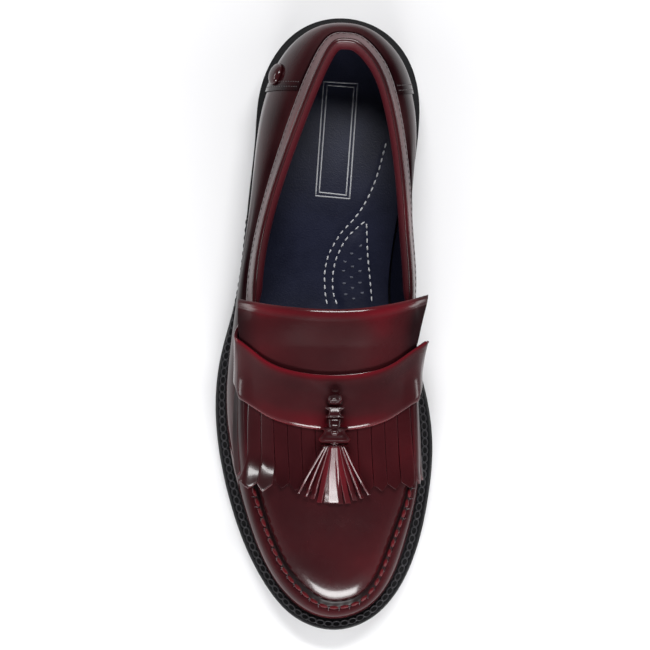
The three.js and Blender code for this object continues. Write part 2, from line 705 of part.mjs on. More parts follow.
// The fringe tips across the shoe: share of the kiltie's reach, share of sole length.
const fringeTips = [
  [-1, 0.738],
  [-0.8, 0.75],
  [-0.35, 0.762],
  [0, 0.768],
  [0.4, 0.764],
  [0.8, 0.753],
  [1, 0.744],
];
const [tipShare] = tableCurves(fringeTips);
const flapTopAlong = (across) => (0.475 - (across < 0 ? 0.0155 : 0.025) * across ** 2) * soleLength;
const fringeRootAlong = (across) => (0.624 - 0.054 * across ** 2) * soleLength;
const stripFlare = (strip) => 0.35 + 0.35 * Math.sin(strip * 2.4 + 0.6);

function buildKiltie() {
  const columns = [];
  for (let strip = 0; strip < stripCount; strip++) {
    const from = (2 * strip) / stripCount - 1;
    const to = (2 * (strip + 1)) / stripCount - 1;
    const half = slitWidth / 2 / fringeReach(from);
    const pointed = from < 0 ? 0.4 : 0.6;
    columns.push({ strip, across: from + half, setback: stripPoint });
    columns.push({ strip, across: mix(from, to, pointed), setback: 0 });
    columns.push({ strip, across: to - half, setback: stripPoint });
  }
  const flapRows = 7;
  const stripRows = 5;
  const outer = [];
  const inner = [];
  columns.forEach(({ strip, across, setback }) => {
    const top = flapTopAlong(across);
    const root = fringeRootAlong(across);
    const tip = tipShare(across) * soleLength - setback;
    for (let r = 0; r <= flapRows + stripRows; r++) {
      const inStrip = Math.max(0, r - flapRows) / stripRows;
      const along = r <= flapRows ? mix(top, root, r / flapRows) : mix(root, tip, inStrip);
      const girth = across * kiltieReach(along, across);
      const flare = stripFlare(strip) * inStrip ** 2;
      (outer[r] ??= []).push(cover(along, girth, kiltieThickness + flare));
      (inner[r] ??= []).push(cover(along, girth, flare));
    }
  });
  const filled = (r, c) => r < flapRows || c % 3 !== 2;
  addPiece("kiltie", sheet(outer, inner, false, filled), leatherRed);
}

// Saddle strap: crosses over the kiltie and is sewn down on both walls, a little below the seam.
// Place across the strap, 0.5 the seam and 1 the end, then its middle and half width as shares
// of sole length.
const strapShape = [
  [-1, 0.553, 0.049],
  [-0.5, 0.569, 0.0485],
  [-0.375, 0.5945, 0.0456],
  [-0.2, 0.613, 0.044],
  [0, 0.6194, 0.044],
  [0.2, 0.615, 0.044],
  [0.375, 0.597, 0.0446],
  [0.5, 0.571, 0.0475],
  [1, 0.561, 0.046],
];
const [strapMiddle, strapHalf] = tableCurves(strapShape);
const strapDrop = 6;
const strapSeat = gap + 0.25;
const strapCreaseLift = 0.5;
const strapStep = [3, 9];

function strapPoint(along, across, lift) {
  const side = across < 0 ? -1 : 1;
  const seamGirth = Math.abs(girthAt(along, side));
  const past = Math.max(0, 2 * Math.abs(across) - 1);
  const girth = side * (Math.min(1, 2 * Math.abs(across)) * seamGirth + past * strapDrop);
  const fromSeam = Math.abs(Math.abs(girth) - seamGirth);
  const overCrease = strapCreaseLift * (1 - smooth(fromSeam, 0, creaseReach * 1.5));
  const reach = kiltieReach(along, side);
  const over = 1 - smooth(Math.abs(girth), reach + strapStep[0], reach + strapStep[1]);
  return cover(along, girth, lift + over * (kiltieThickness + strapSeat) + overCrease);
}

function buildStrap() {
  const outer = [];
  const inner = [];
  const rows = steps(3).map((share) => 2 * share - 1);
  steps(40).forEach((step) => {
    const across = 2 * step - 1;
    rows.forEach((row, r) => {
      const along = (strapMiddle(across) + row * strapHalf(across)) * soleLength;
      (outer[r] ??= []).push(strapPoint(along, across, strapThickness));
      (inner[r] ??= []).push(strapPoint(along, across, 0));
    });
  });
  addPiece("saddle_strap", sheet(outer, inner), leatherRed);
}

// Tassel: a knot and a band on the strap, a bound head below it and a skirt of strips on the fringe.
const tasselAcross = -0.013 * ballWidth;
const tasselStart = 0.608 * soleLength;
const tasselLength = 52.5;
const headWidth = 12.2;
const skirtWidth = 34;
const tasselStripWidth = 2.7;
const tasselStripThickness = 1.1;
const strapLowerEdge = (strapMiddle(0) + strapHalf(0)) * soleLength;

function overFringe(along, across, lift) {
  const girth = across - (seamSides(along).inner[1] + seamSides(along).outer[1]) / 2;
  return cover(along, girth, kiltieThickness + 0.7 + lift)[2];
}

function tasselSeat(along) {
  const step = (strapThickness + gap) * (1 - smooth(along, strapLowerEdge + 0.4, strapLowerEdge + 5));
  const ridge = ridgeHeight * smooth(along, ridgeFrom, ridgeUntil);
  return overFringe(along, tasselAcross, step - ridge) + gap * 2;
}

// Share of the tassel's length, then half width and half height as shares of the head's width.
const tieProfile = [
  [0, 0.03, 0.03],
  [0.02, 0.19, 0.15],
  [0.055, 0.25, 0.2],
  [0.09, 0.19, 0.16],
  [0.115, 0.13, 0.12],
  [0.128, 0.32, 0.15],
  [0.175, 0.34, 0.17],
  [0.222, 0.32, 0.15],
  [0.236, 0.17, 0.14],
  [0.29, 0.22, 0.17],
  [0.312, 0.18, 0.15],
];
const headProfile = [
  [0.322, 0.2, 0.17],
  [0.345, 0.32, 0.24],
  [0.39, 0.43, 0.31],
  [0.44, 0.49, 0.34],
  [0.478, 0.5, 0.34],
];
const hubProfile = [
  [0.486, 0.4, 0.24],
  [0.52, 0.46, 0.24],
  [0.57, 0.5, 0.18],
];

function roundedBar(profile, sides) {
  return profile.map(([share, wide, high]) => {
    const along = tasselStart + share * tasselLength;
    const halfHigh = high * headWidth;
    const centre = tasselSeat(along) + halfHigh;
    return steps(sides).slice(1).map((part) => {
      const angle = 2 * Math.PI * part;
      const across = tasselAcross + wide * headWidth * Math.cos(angle);
      return [along, across, centre + halfHigh * Math.sin(angle)];
    });
  });
}

function skirtStrip(index) {
  const spread = (2 * index) / (tasselStrips - 1) - 1;
  const start = tasselStart + 0.49 * tasselLength;
  const end = tasselStart + (1 - 0.09 * spread ** 2) * tasselLength;
  const layer = index % 2 ? tasselStripThickness + 0.35 : 0;
  const high = tasselSeat(start) + 0.2 * headWidth;
  return steps(6).map((share) => {
    const along = mix(start, end, share);
    const middle = tasselAcross + spread * mix(0.36 * headWidth, skirtWidth / 2 - tasselStripWidth / 2, share);
    const rest = overFringe(along, middle, layer) + gap;
    const low = mix(Math.max(high, rest), rest, smooth(share, 0, 0.75));
    const half = (tasselStripWidth / 2) * mix(0.7, 1, share);
    return [
      [along, middle - half, low],
      [along, middle + half, low],
      [along, middle + half, low + tasselStripThickness],
      [along, middle - half, low + tasselStripThickness],
    ];
  });
}

function buildTassel() {
  addPiece("tassel_tie", bar(roundedBar(tieProfile, 12)), leatherRed);
  addPiece("tassel_head", bar(roundedBar(headProfile, 14)), leatherRed);
  const strips = Array.from({ length: tasselStrips }, (_, index) => bar(skirtStrip(index)));
  addPiece("tassel_skirt", joined([bar(roundedBar(hubProfile, 16)), ...strips]), leatherRed);
}

buildUpper();
buildOutsole();
buildHeel();
buildWelt();
buildInsole();
buildCounter();
buildStud();
buildKiltie();
buildStrap();
buildTassel();

export default shoe;
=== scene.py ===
import math
import random

import bmesh
import bpy
import numpy as np
from mathutils import Matrix, Vector


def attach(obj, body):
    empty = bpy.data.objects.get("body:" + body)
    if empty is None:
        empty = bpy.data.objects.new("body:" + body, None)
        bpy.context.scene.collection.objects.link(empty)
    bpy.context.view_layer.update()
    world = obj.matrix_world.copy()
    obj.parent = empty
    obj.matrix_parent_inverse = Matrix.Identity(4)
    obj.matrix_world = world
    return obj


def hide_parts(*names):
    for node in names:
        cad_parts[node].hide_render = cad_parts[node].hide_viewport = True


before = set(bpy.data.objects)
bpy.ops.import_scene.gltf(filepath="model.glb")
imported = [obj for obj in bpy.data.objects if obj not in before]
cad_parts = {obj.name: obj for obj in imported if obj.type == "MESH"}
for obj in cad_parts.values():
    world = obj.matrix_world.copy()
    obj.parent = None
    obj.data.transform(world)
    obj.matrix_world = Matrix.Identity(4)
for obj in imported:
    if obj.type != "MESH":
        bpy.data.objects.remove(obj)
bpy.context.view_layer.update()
random.seed(7)

# A right saddle loafer. Everything is worked out in millimetres as (along, across, up):
# along from the back of the heel to the toe, across towards the inner side, up from the floor.
shoe = {
    "soleLength": 298.0,
    "ballWidth": 106.8,
    "heelHeight": 20.0,
    "toeSpring": 10.5,
    "quarterHeight": 60.0,
    "outsoleThickness": 7.0,
    "weltThickness": 3.5,
    "insoleThickness": 4.0,
    "upperWall": 1.8,
    "gap": 0.3,
}
studio = {  # metres and watts
    "cameraUp": 1.4, "roll": 0.00983, "lens": 156.7,
    "scaleAt": 1388,  # millimetres below the camera where the insole's scale holds
    "sky": [  # how far up, colour
        (0.0, (1.0, 0.98, 1.0, 1)), (0.12, (0.5, 0.49, 0.5, 1)), (0.75, (0.06, 0.06, 0.065, 1)),
    ],
    "softboxes": {  # place, aim, size, power
        "toeSoftbox": ((0.0, -1.1, 0.5), (0, -0.05, 0.03), (1.0, 0.3), 20),
        "innerSoftbox": ((1.35, 0.1, 0.5), (0, 0, 0.03), (1.1, 0.2), 5),
        "outerSoftbox": ((-1.35, 0.1, 0.5), (0, 0, 0.03), (1.1, 0.2), 5),
        "backSoftbox": ((0.1, 0.8, 1.5), (0, 0, 0.03), (0.9, 0.3), 24),
    },
}
soleLength = shoe["soleLength"]
ballWidth = shoe["ballWidth"]
quarterHeight = shoe["quarterHeight"]
gap = shoe["gap"]


# maths on arrays of points
def mix(low, high, share):
    return low + (high - low) * share


def smooth(value, low, high):
    share = np.clip((value - low) / (high - low), 0, 1)
    return share * share * (3 - 2 * share)


def bump(value, centre, width):
    return np.exp(-(((value - centre) / width) ** 2))


def unit(rows):
    return rows / np.maximum(np.linalg.norm(rows, axis=-1, keepdims=True), 1e-9)


def stack(along, across, up):
    return np.stack(np.broadcast_arrays(along, across, up), axis=-1).astype(float)


def toWorld(points):
    return np.stack([points[..., 1] + centreShift, soleLength / 2 - points[..., 0], points[..., 2]], axis=-1) / 1000


def curveThrough(knots, values, period=0.0):  # a smooth curve through values at knots
    knots = np.array(knots, float)
    values = np.array(values, float)
    count = len(knots)
    spans = np.append(np.diff(knots), period - knots[-1] + knots[0] if period else 1.0)
    bend = np.zeros(count)
    for _ in range(90):
        for i in range(0 if period else 1, count if period else count - 1):
            after = (i + 1) % count
            turn = (values[after] - values[i]) / spans[i] - (values[i] - values[i - 1]) / spans[i - 1]
            held = spans[i - 1] * bend[i - 1] + spans[i] * bend[after]
            bend[i] = (6 * turn - held) / (2 * (spans[i - 1] + spans[i]))
    ends = np.append(knots, knots[0] + period) if period else knots
    tops = np.append(values, values[0]) if period else values
    bends = np.append(bend, bend[0]) if period else bend

    def curve(where):
        where = np.asarray(where, float)
        at = np.mod(where - knots[0], period) + knots[0] if period else np.clip(where, knots[0], knots[-1])
        i = np.clip(np.searchsorted(ends, at, side="right") - 1, 0, len(ends) - 2)
        span = ends[i + 1] - ends[i]
        right = (at - ends[i]) / span
        left = 1 - right
        curl = (left**3 - left) * bends[i] + (right**3 - right) * bends[i + 1]
        return left * tops[i] + right * tops[i + 1] + curl * span * span / 6

    return curve


def tableCurves(rows):
    columns = list(zip(*rows))
    return [curveThrough(columns[0], column) for column in columns[1:]]


# the last: the same sections as the part's source
soleProfile = [  # share of sole length, share of heel height, share of toe spring
    (0, 1, 0), (0.15, 0.93, 0), (0.3, 0.77, 0), (0.37, 0.49, 0), (0.44, 0.2, 0), (0.5, 0.045, 0),
    (0.55, -0.01, -0.01), (0.72, -0.01, -0.01), (0.8, 0, 0.11), (0.89, 0, 0.38), (0.955, 0, 0.71), (1, 0, 1),
]
heelRise, toeRise = tableCurves(soleProfile)
rayColumns = [
    "soleAlong", "soleAcross", "inset", "facing", "seamAlong", "seamAcross", "seamUp",
    "collarAlong", "collarAcross", "collarUp", "shoulderOut", "shoulderDown", "bulgeOut", "bulgeUp",
]
rays = [
    (0, 0, 0.078, -90, 0.043, 0.022, 0.895, 0.054, 0.023, 0.987, 0.042, 0.27, 0.075, 0.25),
    (0.02, 0.19, 0.075, -58, 0.052, 0.103, 0.892, 0.062, 0.088, 0.985, 0.042, 0.27, 0.073, 0.25),
    (0.062, 0.301, 0.066, -33, 0.086, 0.187, 0.873, 0.092, 0.161, 0.967, 0.037, 0.25, 0.068, 0.25),
    (0.123, 0.356, 0.05, -12, 0.136, 0.243, 0.823, 0.138, 0.215, 0.917, 0.037, 0.23, 0.054, 0.23),
    (0.196, 0.354, 0.031, 0, 0.199, 0.281, 0.737, 0.199, 0.255, 0.832, 0.033, 0.22, 0.05, 0.22),
    (0.278, 0.322, 0.019, 0, 0.278, 0.309, 0.657, 0.278, 0.287, 0.753, 0.021, 0.2, 0.034, 0.2),
    (0.36, 0.28, 0.011, 0, 0.36, 0.327, 0.683, 0.36, 0.307, 0.782, 0.012, 0.18, 0.042, 0.2),
    (0.429, 0.259, 0.009, 0, 0.429, 0.34, 0.767, 0.429, 0.323, 0.873, 0.006, 0.18, 0.056, 0.22),
    (0.491, 0.274, 0.014, 0, 0.491, 0.333, 0.82, 0.487, 0.312, 0.93, 0.008, 0.2, 0.056, 0.22),
    (0.548, 0.349, 0.051, 0, 0.548, 0.327, 0.828, 0.503, 0.234, 1.1, 0.014, 0.2, 0.047, 0.2),
    (0.609, 0.407, 0.071, 0, 0.609, 0.331, 0.8, 0.508, 0.15, 1.15, 0.023, 0.17, 0.039, 0.18),
    (0.696, 0.441, 0.084, 0, 0.696, 0.335, 0.737, 0.511, 0.084, 1.17, 0.036, 0.13, 0.043, 0.17),
    (0.786, 0.422, 0.087, 4, 0.773, 0.319, 0.665, 0.512, 0.037, 1.18, 0.047, 0.11, 0.042, 0.15),
    (0.867, 0.372, 0.087, 22, 0.846, 0.254, 0.573, 0.5125, 0.005, 1.18, 0.051, 0.09, 0.051, 0.13),
    (0.933, 0.29, 0.086, 45, 0.906, 0.191, 0.487, 0.513, -0.014, 1.18, 0.051, 0.083, 0.057, 0.12),
    (0.977, 0.18, 0.085, 68, 0.941, 0.118, 0.425, 0.513, -0.023, 1.18, 0.049, 0.083, 0.057, 0.11),
    (1, 0, 0.084, 90, 0.954, 0.004, 0.407, 0.513, -0.03, 1.18, 0.049, 0.083, 0.061, 0.11),
    (0.977, -0.199, 0.085, 112, 0.941, -0.106, 0.425, 0.513, -0.037, 1.18, 0.049, 0.083, 0.066, 0.11),
    (0.933, -0.313, 0.086, 135, 0.906, -0.205, 0.487, 0.513, -0.047, 1.18, 0.051, 0.083, 0.073, 0.12),
    (0.867, -0.4155, 0.087, 158, 0.846, -0.292, 0.568, 0.5125, -0.066, 1.18, 0.054, 0.09, 0.071, 0.13),
    (0.786, -0.495, 0.087, 176, 0.773, -0.359, 0.65, 0.512, -0.096, 1.18, 0.056, 0.11, 0.062, 0.15),
    (0.696, -0.548, 0.084, 180, 0.696, -0.398, 0.715, 0.511, -0.142, 1.17, 0.056, 0.12, 0.074, 0.17),
    (0.609, -0.559, 0.079, 180, 0.609, -0.412, 0.765, 0.508, -0.206, 1.15, 0.047, 0.16, 0.076, 0.18),
    (0.548, -0.536, 0.071, 180, 0.548, -0.412, 0.795, 0.503, -0.29, 1.1, 0.037, 0.18, 0.077, 0.18),
    (0.491, -0.495, 0.054, 180, 0.491, -0.412, 0.783, 0.487, -0.367, 0.9, 0.033, 0.2, 0.077, 0.2),
    (0.429, -0.456, 0.042, 180, 0.429, -0.403, 0.733, 0.429, -0.377, 0.84, 0.03, 0.18, 0.077, 0.18),
    (0.36, -0.4315, 0.037, 180, 0.36, -0.375, 0.653, 0.36, -0.351, 0.752, 0.033, 0.18, 0.065, 0.18),
    (0.278, -0.409, 0.032, 180, 0.278, -0.318, 0.635, 0.278, -0.292, 0.732, 0.042, 0.2, 0.055, 0.2),
    (0.196, -0.386, 0.031, 180, 0.197, -0.247, 0.725, 0.199, -0.215, 0.82, 0.051, 0.22, 0.064, 0.22),
    (0.123, -0.368, 0.05, 192, 0.132, -0.181, 0.818, 0.137, -0.148, 0.912, 0.051, 0.23, 0.069, 0.23),
    (0.062, -0.301, 0.066, 213, 0.081, -0.118, 0.87, 0.089, -0.09, 0.965, 0.047, 0.25, 0.081, 0.25),
    (0.02, -0.19, 0.075, 238, 0.049, -0.056, 0.892, 0.06, -0.039, 0.985, 0.044, 0.27, 0.08, 0.25),
]
spineProfile = [  # the top of the instep: share of sole length, share of quarter height
    (0.42, 1.3), (0.47, 1.247), (0.51, 1.183), (0.584, 1.042), (0.664, 0.9),
    (0.765, 0.762), (0.839, 0.663), (0.899, 0.558), (0.933, 0.477), (0.954, 0.407),
]
corners = np.array([(row[0] * soleLength, row[1] * ballWidth) for row in rays])
rayKnots = np.concatenate([[0], np.cumsum(np.linalg.norm(np.roll(corners, -1, 0) - corners, axis=1))])
rayPeriod, rayKnots = rayKnots[-1], rayKnots[:-1]
toeRay = rayKnots[16]
rayCurves = {
    name: curveThrough(rayKnots, [row[i] for row in rays], rayPeriod) for i, name in enumerate(rayColumns)
}
turnAcross = curveThrough(rayKnots, [math.cos(math.radians(row[3])) for row in rays], rayPeriod)
turnAlong = curveThrough(rayKnots, [math.sin(math.radians(row[3])) for row in rays], rayPeriod)
[spineUp] = tableCurves(spineProfile)


def rocker(along):
    share = along / soleLength
    return np.maximum(0, shoe["heelHeight"] * heelRise(share) + shoe["toeSpring"] * toeRise(share))


def outsoleTop(along):
    return rocker(along) + shoe["outsoleThickness"]


def facingOf(ray):
    return unit(stack(turnAlong(ray), turnAcross(ray), 0.0))


def outline(ray, inset):
    edge = stack(rayCurves["soleAlong"](ray) * soleLength, rayCurves["soleAcross"](ray) * ballWidth, 0.0)
    return edge - facingOf(ray) * np.asarray(inset, float)[..., None]


def edgePoint(ray, part):
    along = rayCurves[part + "Along"](ray) * soleLength
    up = outsoleTop(along) + rayCurves[part + "Up"](ray) * quarterHeight
    return stack(along, rayCurves[part + "Across"](ray) * ballWidth, up)


def wallHandles(ray):
    facing = facingOf(ray)
    top = edgePoint(ray, "seam")
    foot = outline(ray, rayCurves["inset"](ray) * ballWidth)
    foot[..., 2] = outsoleTop(foot[..., 0]) + gap
    shoulder = top + facing * (rayCurves["shoulderOut"](ray) * ballWidth)[..., None]
    shoulder[..., 2] -= rayCurves["shoulderDown"](ray) * quarterHeight
    bulge = foot + facing * (rayCurves["bulgeOut"](ray) * ballWidth)[..., None]
    bulge[..., 2] += rayCurves["bulgeUp"](ray) * quarterHeight
    return top, shoulder, bulge, foot


def wallPoint(ray, share):
    share = np.asarray(share, float)[..., None]
    rest = 1 - share
    top, shoulder, bulge, foot = wallHandles(ray)
    return rest**3 * top + 3 * rest * rest * share * shoulder + 3 * rest * share * share * bulge + share**3 * foot


innerRays = np.linspace(0, toeRay, 1600)
outerRays = np.linspace(rayPeriod, toeRay, 1600)
widest = outline(np.linspace(0, rayPeriod, 2400), 0)[..., 1]
centreShift = -(widest.max() + widest.min()) / 2


def sidesAt(along):  # the seam's rays and points on both sides
    held = np.clip(along, 0.3 * soleLength, 0.9535 * soleLength)
    found = []
    for rayRow in (innerRays, outerRays):
        found.append(np.interp(held, rayCurves["seamAlong"](rayRow) * soleLength, rayRow))
    return found[0], found[1], edgePoint(found[0], "seam"), edgePoint(found[1], "seam")


def apronHeight(along, across):
    _, _, inner, outer = sidesAt(along)
    middle = (inner[..., 1] + outer[..., 1]) / 2
    half = (inner[..., 1] - outer[..., 1]) / 2
    share = np.clip((across - middle) / half, -1, 1)
    base = mix(outer[..., 2], inner[..., 2], (share + 1) / 2)
    crown = outsoleTop(along) + spineUp(along / soleLength) * quarterHeight - (inner[..., 2] + outer[..., 2]) / 2
    return base + crown * (1 - np.abs(share) ** 2.1)


def skin(ray, share):  # share 0 collar, 1 seam, 2 foot of the wall
    share = np.asarray(share, float)
    seam = edgePoint(ray, "seam")
    top = mix(edgePoint(ray, "collar"), seam, np.minimum(share, 1)[..., None])
    apron = smooth(seam[..., 0], 0.443 * soleLength, 0.51 * soleLength)
    top[..., 2] = mix(top[..., 2], apronHeight(top[..., 0], top[..., 1]), apron)
    return np.where((share >= 1)[..., None], wallPoint(ray, np.clip(share - 1, 0, 1)), top)


def skinFacing(ray, share):
    around = skin(ray + 1, share) - skin(ray - 1, share)
    down = skin(ray, np.clip(share + 0.02, 0, 2)) - skin(ray, np.clip(share - 0.02, 0, 2))
    return unit(np.cross(around, down))


def place(along, share):  # share 0 the middle, 1 the inner seam, 2 the foot of the inner wall
    along, share = np.broadcast_arrays(np.asarray(along, float), np.asarray(share, float))
    rayIn, rayOut, inner, outer = sidesAt(along)
    size = np.abs(share)
    middle = (inner[..., 1] + outer[..., 1]) / 2
    across = mix(middle, np.where(share > 0, inner[..., 1], outer[..., 1]), np.minimum(size, 1))
    over = stack(along, across, apronHeight(along, across))
    down = wallPoint(np.where(share > 0, rayIn, rayOut), np.clip(size - 1, 0, 1))
    return np.where((size > 1)[..., None], down, over)


def placeFacing(along, share):
    lengthwise = place(along + 2, share) - place(along - 2, share)
    crosswise = place(along, np.minimum(2, share + 0.05)) - place(along, np.maximum(-2, share - 0.05))
    return unit(np.cross(lengthwise, crosswise))


girthAlongs = np.linspace(0.3 * soleLength, 0.95 * soleLength, 260)
girthShares = np.linspace(0, 2, 61)
girthRows = {}
for sideSign in (1, -1):
    lattice = place(girthAlongs[:, None], (sideSign * girthShares)[None, :])
    runs = np.cumsum(np.linalg.norm(np.diff(lattice, axis=1), axis=-1), axis=1)
    girthRows[sideSign] = np.concatenate([np.zeros((len(girthAlongs), 1)), runs], axis=1)


def girthTable(along, outerSide):
    at = np.clip((along - girthAlongs[0]) / (girthAlongs[1] - girthAlongs[0]), 0, len(girthAlongs) - 1.001)
    i = at.astype(int)
    part = (at - i)[..., None]
    near = np.where(outerSide[..., None], girthRows[-1][i], girthRows[1][i])
    far = np.where(outerSide[..., None], girthRows[-1][i + 1], girthRows[1][i + 1])
    return mix(near, far, part)


def shareAt(along, girth):  # the share that lies a girth away from the middle, over the skin
    along, girth = np.broadcast_arrays(np.asarray(along, float), np.asarray(girth, float))
    rows = girthTable(along, girth < 0)
    wanted = np.clip(np.abs(girth), 0, rows[..., -1] - 0.001)
    i = np.clip((rows <= wanted[..., None]).sum(-1) - 1, 0, 59)[..., None]
    low = np.take_along_axis(rows, i, -1)[..., 0]
    high = np.take_along_axis(rows, i + 1, -1)[..., 0]
    share = (i[..., 0] + (wanted - low) / (high - low)) / 30
    return np.where(girth < 0, -share, share)


def seamGirth(along, girth):
    along, girth = np.broadcast_arrays(np.asarray(along, float), np.asarray(girth, float))
    return girthTable(along, girth < 0)[..., 30]


# meshes
# shape(u, w) gives points, a pattern map in millimetres and a tone from 0 to 1; in places the tone carries painted
# highlights and painted shade
def gridMesh(columns, rows, shape, closeAround=False, closeRows=False, flip=False, lowFrom=None):
    bm = bmesh.new()
    bmesh.ops.create_grid(bm, x_segments=columns, y_segments=rows, size=0.5)
    flat = np.array([(v.co.x + 0.5, v.co.y + 0.5) for v in bm.verts])
    points, pattern, tone = shape(flat[:, 0], flat[:, 1])
    mapLayer = bm.loops.layers.uv.new("pattern")
    toneLayer = bm.verts.layers.float.new("tone")
    tone = np.broadcast_to(tone, len(flat))
    spots = toWorld(points)
    for i, v in enumerate(bm.verts):
        v.co = spots[i]
        v[toneLayer] = float(tone[i])
    bm.verts.index_update()
    for face in bm.faces:
        for loop in face.loops:
            loop[mapLayer].uv = pattern[loop.vert.index]
    if lowFrom:  # rows below this one take the second set of three materials
        for index, face in enumerate(bm.faces):
            face.material_index = 3 if index // columns >= lowFrom else 0
    if closeAround or closeRows:
        bmesh.ops.remove_doubles(bm, verts=bm.verts, dist=2e-6)
    if flip:
        bmesh.ops.reverse_faces(bm, faces=bm.faces)
    return bm


def capEnds(bm):
    rim = [e for e in bm.edges if e.is_boundary]
    if rim:
        bmesh.ops.holes_fill(bm, edges=rim, sides=0)


def addBm(bm, extra):
    held = bpy.data.meshes.new("held")
    extra.to_mesh(held)
    extra.free()
    bm.from_mesh(held)
    bpy.data.meshes.remove(held)


def finishPiece(name, bm, materials, nodes=(), wall=None, edge=None, sharp=40.0, recalc=False):
    if recalc:
        bmesh.ops.recalc_face_normals(bm, faces=bm.faces)
    for face in bm.faces:
        face.smooth = True
    mesh = bpy.data.meshes.new(name)
    bm.to_mesh(mesh)
    bm.free()
    piece = bpy.data.objects.new(name, mesh)
    bpy.context.scene.collection.objects.link(piece)
    for material in materials:
        mesh.materials.append(material)
    if wall:
        solid = piece.modifiers.new("wall", "SOLIDIFY")
        solid.thickness = wall / 1000
        solid.offset = -1
        solid.use_even_offset = True
        solid.material_offset = min(1, len(materials) - 1)
        solid.material_offset_rim = min(2, len(materials) - 1)
    if edge:
        bevel = piece.modifiers.new("edge", "BEVEL")
        bevel.width = edge / 1000
        bevel.segments = 2
        bevel.limit_method = "ANGLE"
        bevel.angle_limit = math.radians(sharp)
        bevel.harden_normals = False
    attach(piece, "root")
    if nodes:
        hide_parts(*nodes)
    print("made", name, len(mesh.polygons), "faces")
    return piece


def evenly(path, pitch):  # places of equal pitch on a path of points, with its directions
    lengths = np.concatenate([[0], np.cumsum(np.linalg.norm(np.diff(path, axis=0), axis=1))])
    count = max(2, int(round(lengths[-1] / pitch)))
    at = (np.arange(count) + 0.5) * lengths[-1] / count
    points = np.stack([np.interp(at, lengths, path[:, k]) for k in range(3)], axis=1)
    ahead = np.stack([np.interp(at + 0.4, lengths, path[:, k]) for k in range(3)], axis=1)
    behind = np.stack([np.interp(at - 0.4, lengths, path[:, k]) for k in range(3)], axis=1)
    return points, unit(ahead - behind), at / lengths[-1]


def stitch(bm, point, ahead, normal, size, sink=0.0, jitter=0.0):  # size is length, width and height
    ahead, normal = Vector(ahead), Vector(normal)
    side = normal.cross(ahead).normalized()
    normal = ahead.cross(side).normalized()
    turn = Matrix.Rotation(random.uniform(-jitter, jitter), 4, "Z")
    axes = Matrix([ahead, side, normal]).transposed().to_4x4()
    spot = Matrix.Translation(Vector(toWorld(np.array(point) + np.array(worldless(normal)) * -sink)))
    scale = Matrix.Diagonal((size[0] / 1000, size[1] / 1000, size[2] / 1000, 1))
    bmesh.ops.create_uvsphere(bm, u_segments=8, v_segments=5, radius=0.5, matrix=spot @ axes @ turn @ scale)


def worldless(vector):  # a world direction as (along, across, up)
    return (-vector[1], vector[0], vector[2])


def asWorld(rows):  # (along, across, up) directions in the world
    return np.stack([rows[..., 1], -rows[..., 0], rows[..., 2]], axis=-1)


# materials
class Flow:  # a socket with maths on it
    def __init__(self, look, socket):
        self.look, self.socket = look, socket

    def maths(self, operation, *others):
        return self.look.node("ShaderNodeMath", {"operation": operation}, {0: self, **dict(enumerate(others, 1))})

    def __add__(self, other):
        return self.maths("ADD", other)

    def __radd__(self, other):
        return self.maths("ADD", other)

    def __sub__(self, other):
        return self.maths("SUBTRACT", other)

    def __rsub__(self, other):
        return self.maths("MULTIPLY_ADD", -1.0, other)

    def __mul__(self, other):
        return self.maths("MULTIPLY", other)

    def __rmul__(self, other):
        return self.maths("MULTIPLY", other)

    def __truediv__(self, other):
        return self.maths("DIVIDE", other)

    def __pow__(self, other):
        return self.maths("POWER", other)

    def between(self, low, high):  # 0 below low, 1 above high
        settings = {"interpolation_type": "SMOOTHSTEP"}
        return self.look.node("ShaderNodeMapRange", settings, {"Value": self, "From Min": low, "From Max": high})


class Look:  # a material with one Principled shader
    def __init__(self, name, **fixed):
        self.material = bpy.data.materials.new(name)
        self.material.use_nodes = True
        self.tree = self.material.node_tree
        self.shader = self.tree.nodes["Principled BSDF"]
        for socket, value in fixed.items():
            self.shader.inputs[socket.replace("_", " ")].default_value = value

    def node(self, kind, settings=None, inputs=None, out=0):
        made = self.tree.nodes.new(kind)
        for key, value in (settings or {}).items():
            if key == "stops":
                ramp = made.color_ramp.elements
                while len(ramp) < len(value):
                    ramp.new(0.5)
                for element, (position, colour) in zip(ramp, value):
                    element.position, element.color = position, colour
            else:
                setattr(made, key, value)
        for key, value in (inputs or {}).items():
            if isinstance(value, Flow):
                self.tree.links.new(value.socket, made.inputs[key])
            else:
                made.inputs[key].default_value = value
        return Flow(self, made.outputs[out])

    def spot(self):
        return self.node("ShaderNodeTexCoord", out="Object")

    def pattern(self):  # the piece's own map, in millimetres
        return self.node("ShaderNodeUVMap", {"uv_map": "pattern"})

    def parts(self, vector):
        split = self.node("ShaderNodeSeparateXYZ", {}, {0: vector})
        others = split.socket.node.outputs
        return [Flow(self, others[k]) for k in range(3)]

    def tone(self):
        return self.node("ShaderNodeAttribute", {"attribute_name": "tone"}, out="Fac")

    def noise(self, vector, scale, detail=2.0, rough=0.5):
        values = {"Vector": vector, "Scale": scale, "Detail": detail, "Roughness": rough}
        return self.node("ShaderNodeTexNoise", {}, values)

    def cells(self, vector, scale):
        return self.node("ShaderNodeTexVoronoi", {}, {"Vector": vector, "Scale": scale})

    def blend(self, share, low, high):
        return self.node("ShaderNodeMix", {"data_type": "RGBA"}, {"Factor": share, 6: low, 7: high}, out=2)

    def feed(self, **links):
        for socket, flow in links.items():
            self.tree.links.new(flow.socket, self.shader.inputs[socket.replace("_", " ")])

    def relief(self, height, distance, strength=1.0):
        values = {"Height": height, "Distance": distance / 1000, "Strength": strength}
        self.feed(Normal=self.node("ShaderNodeBump", {}, values))


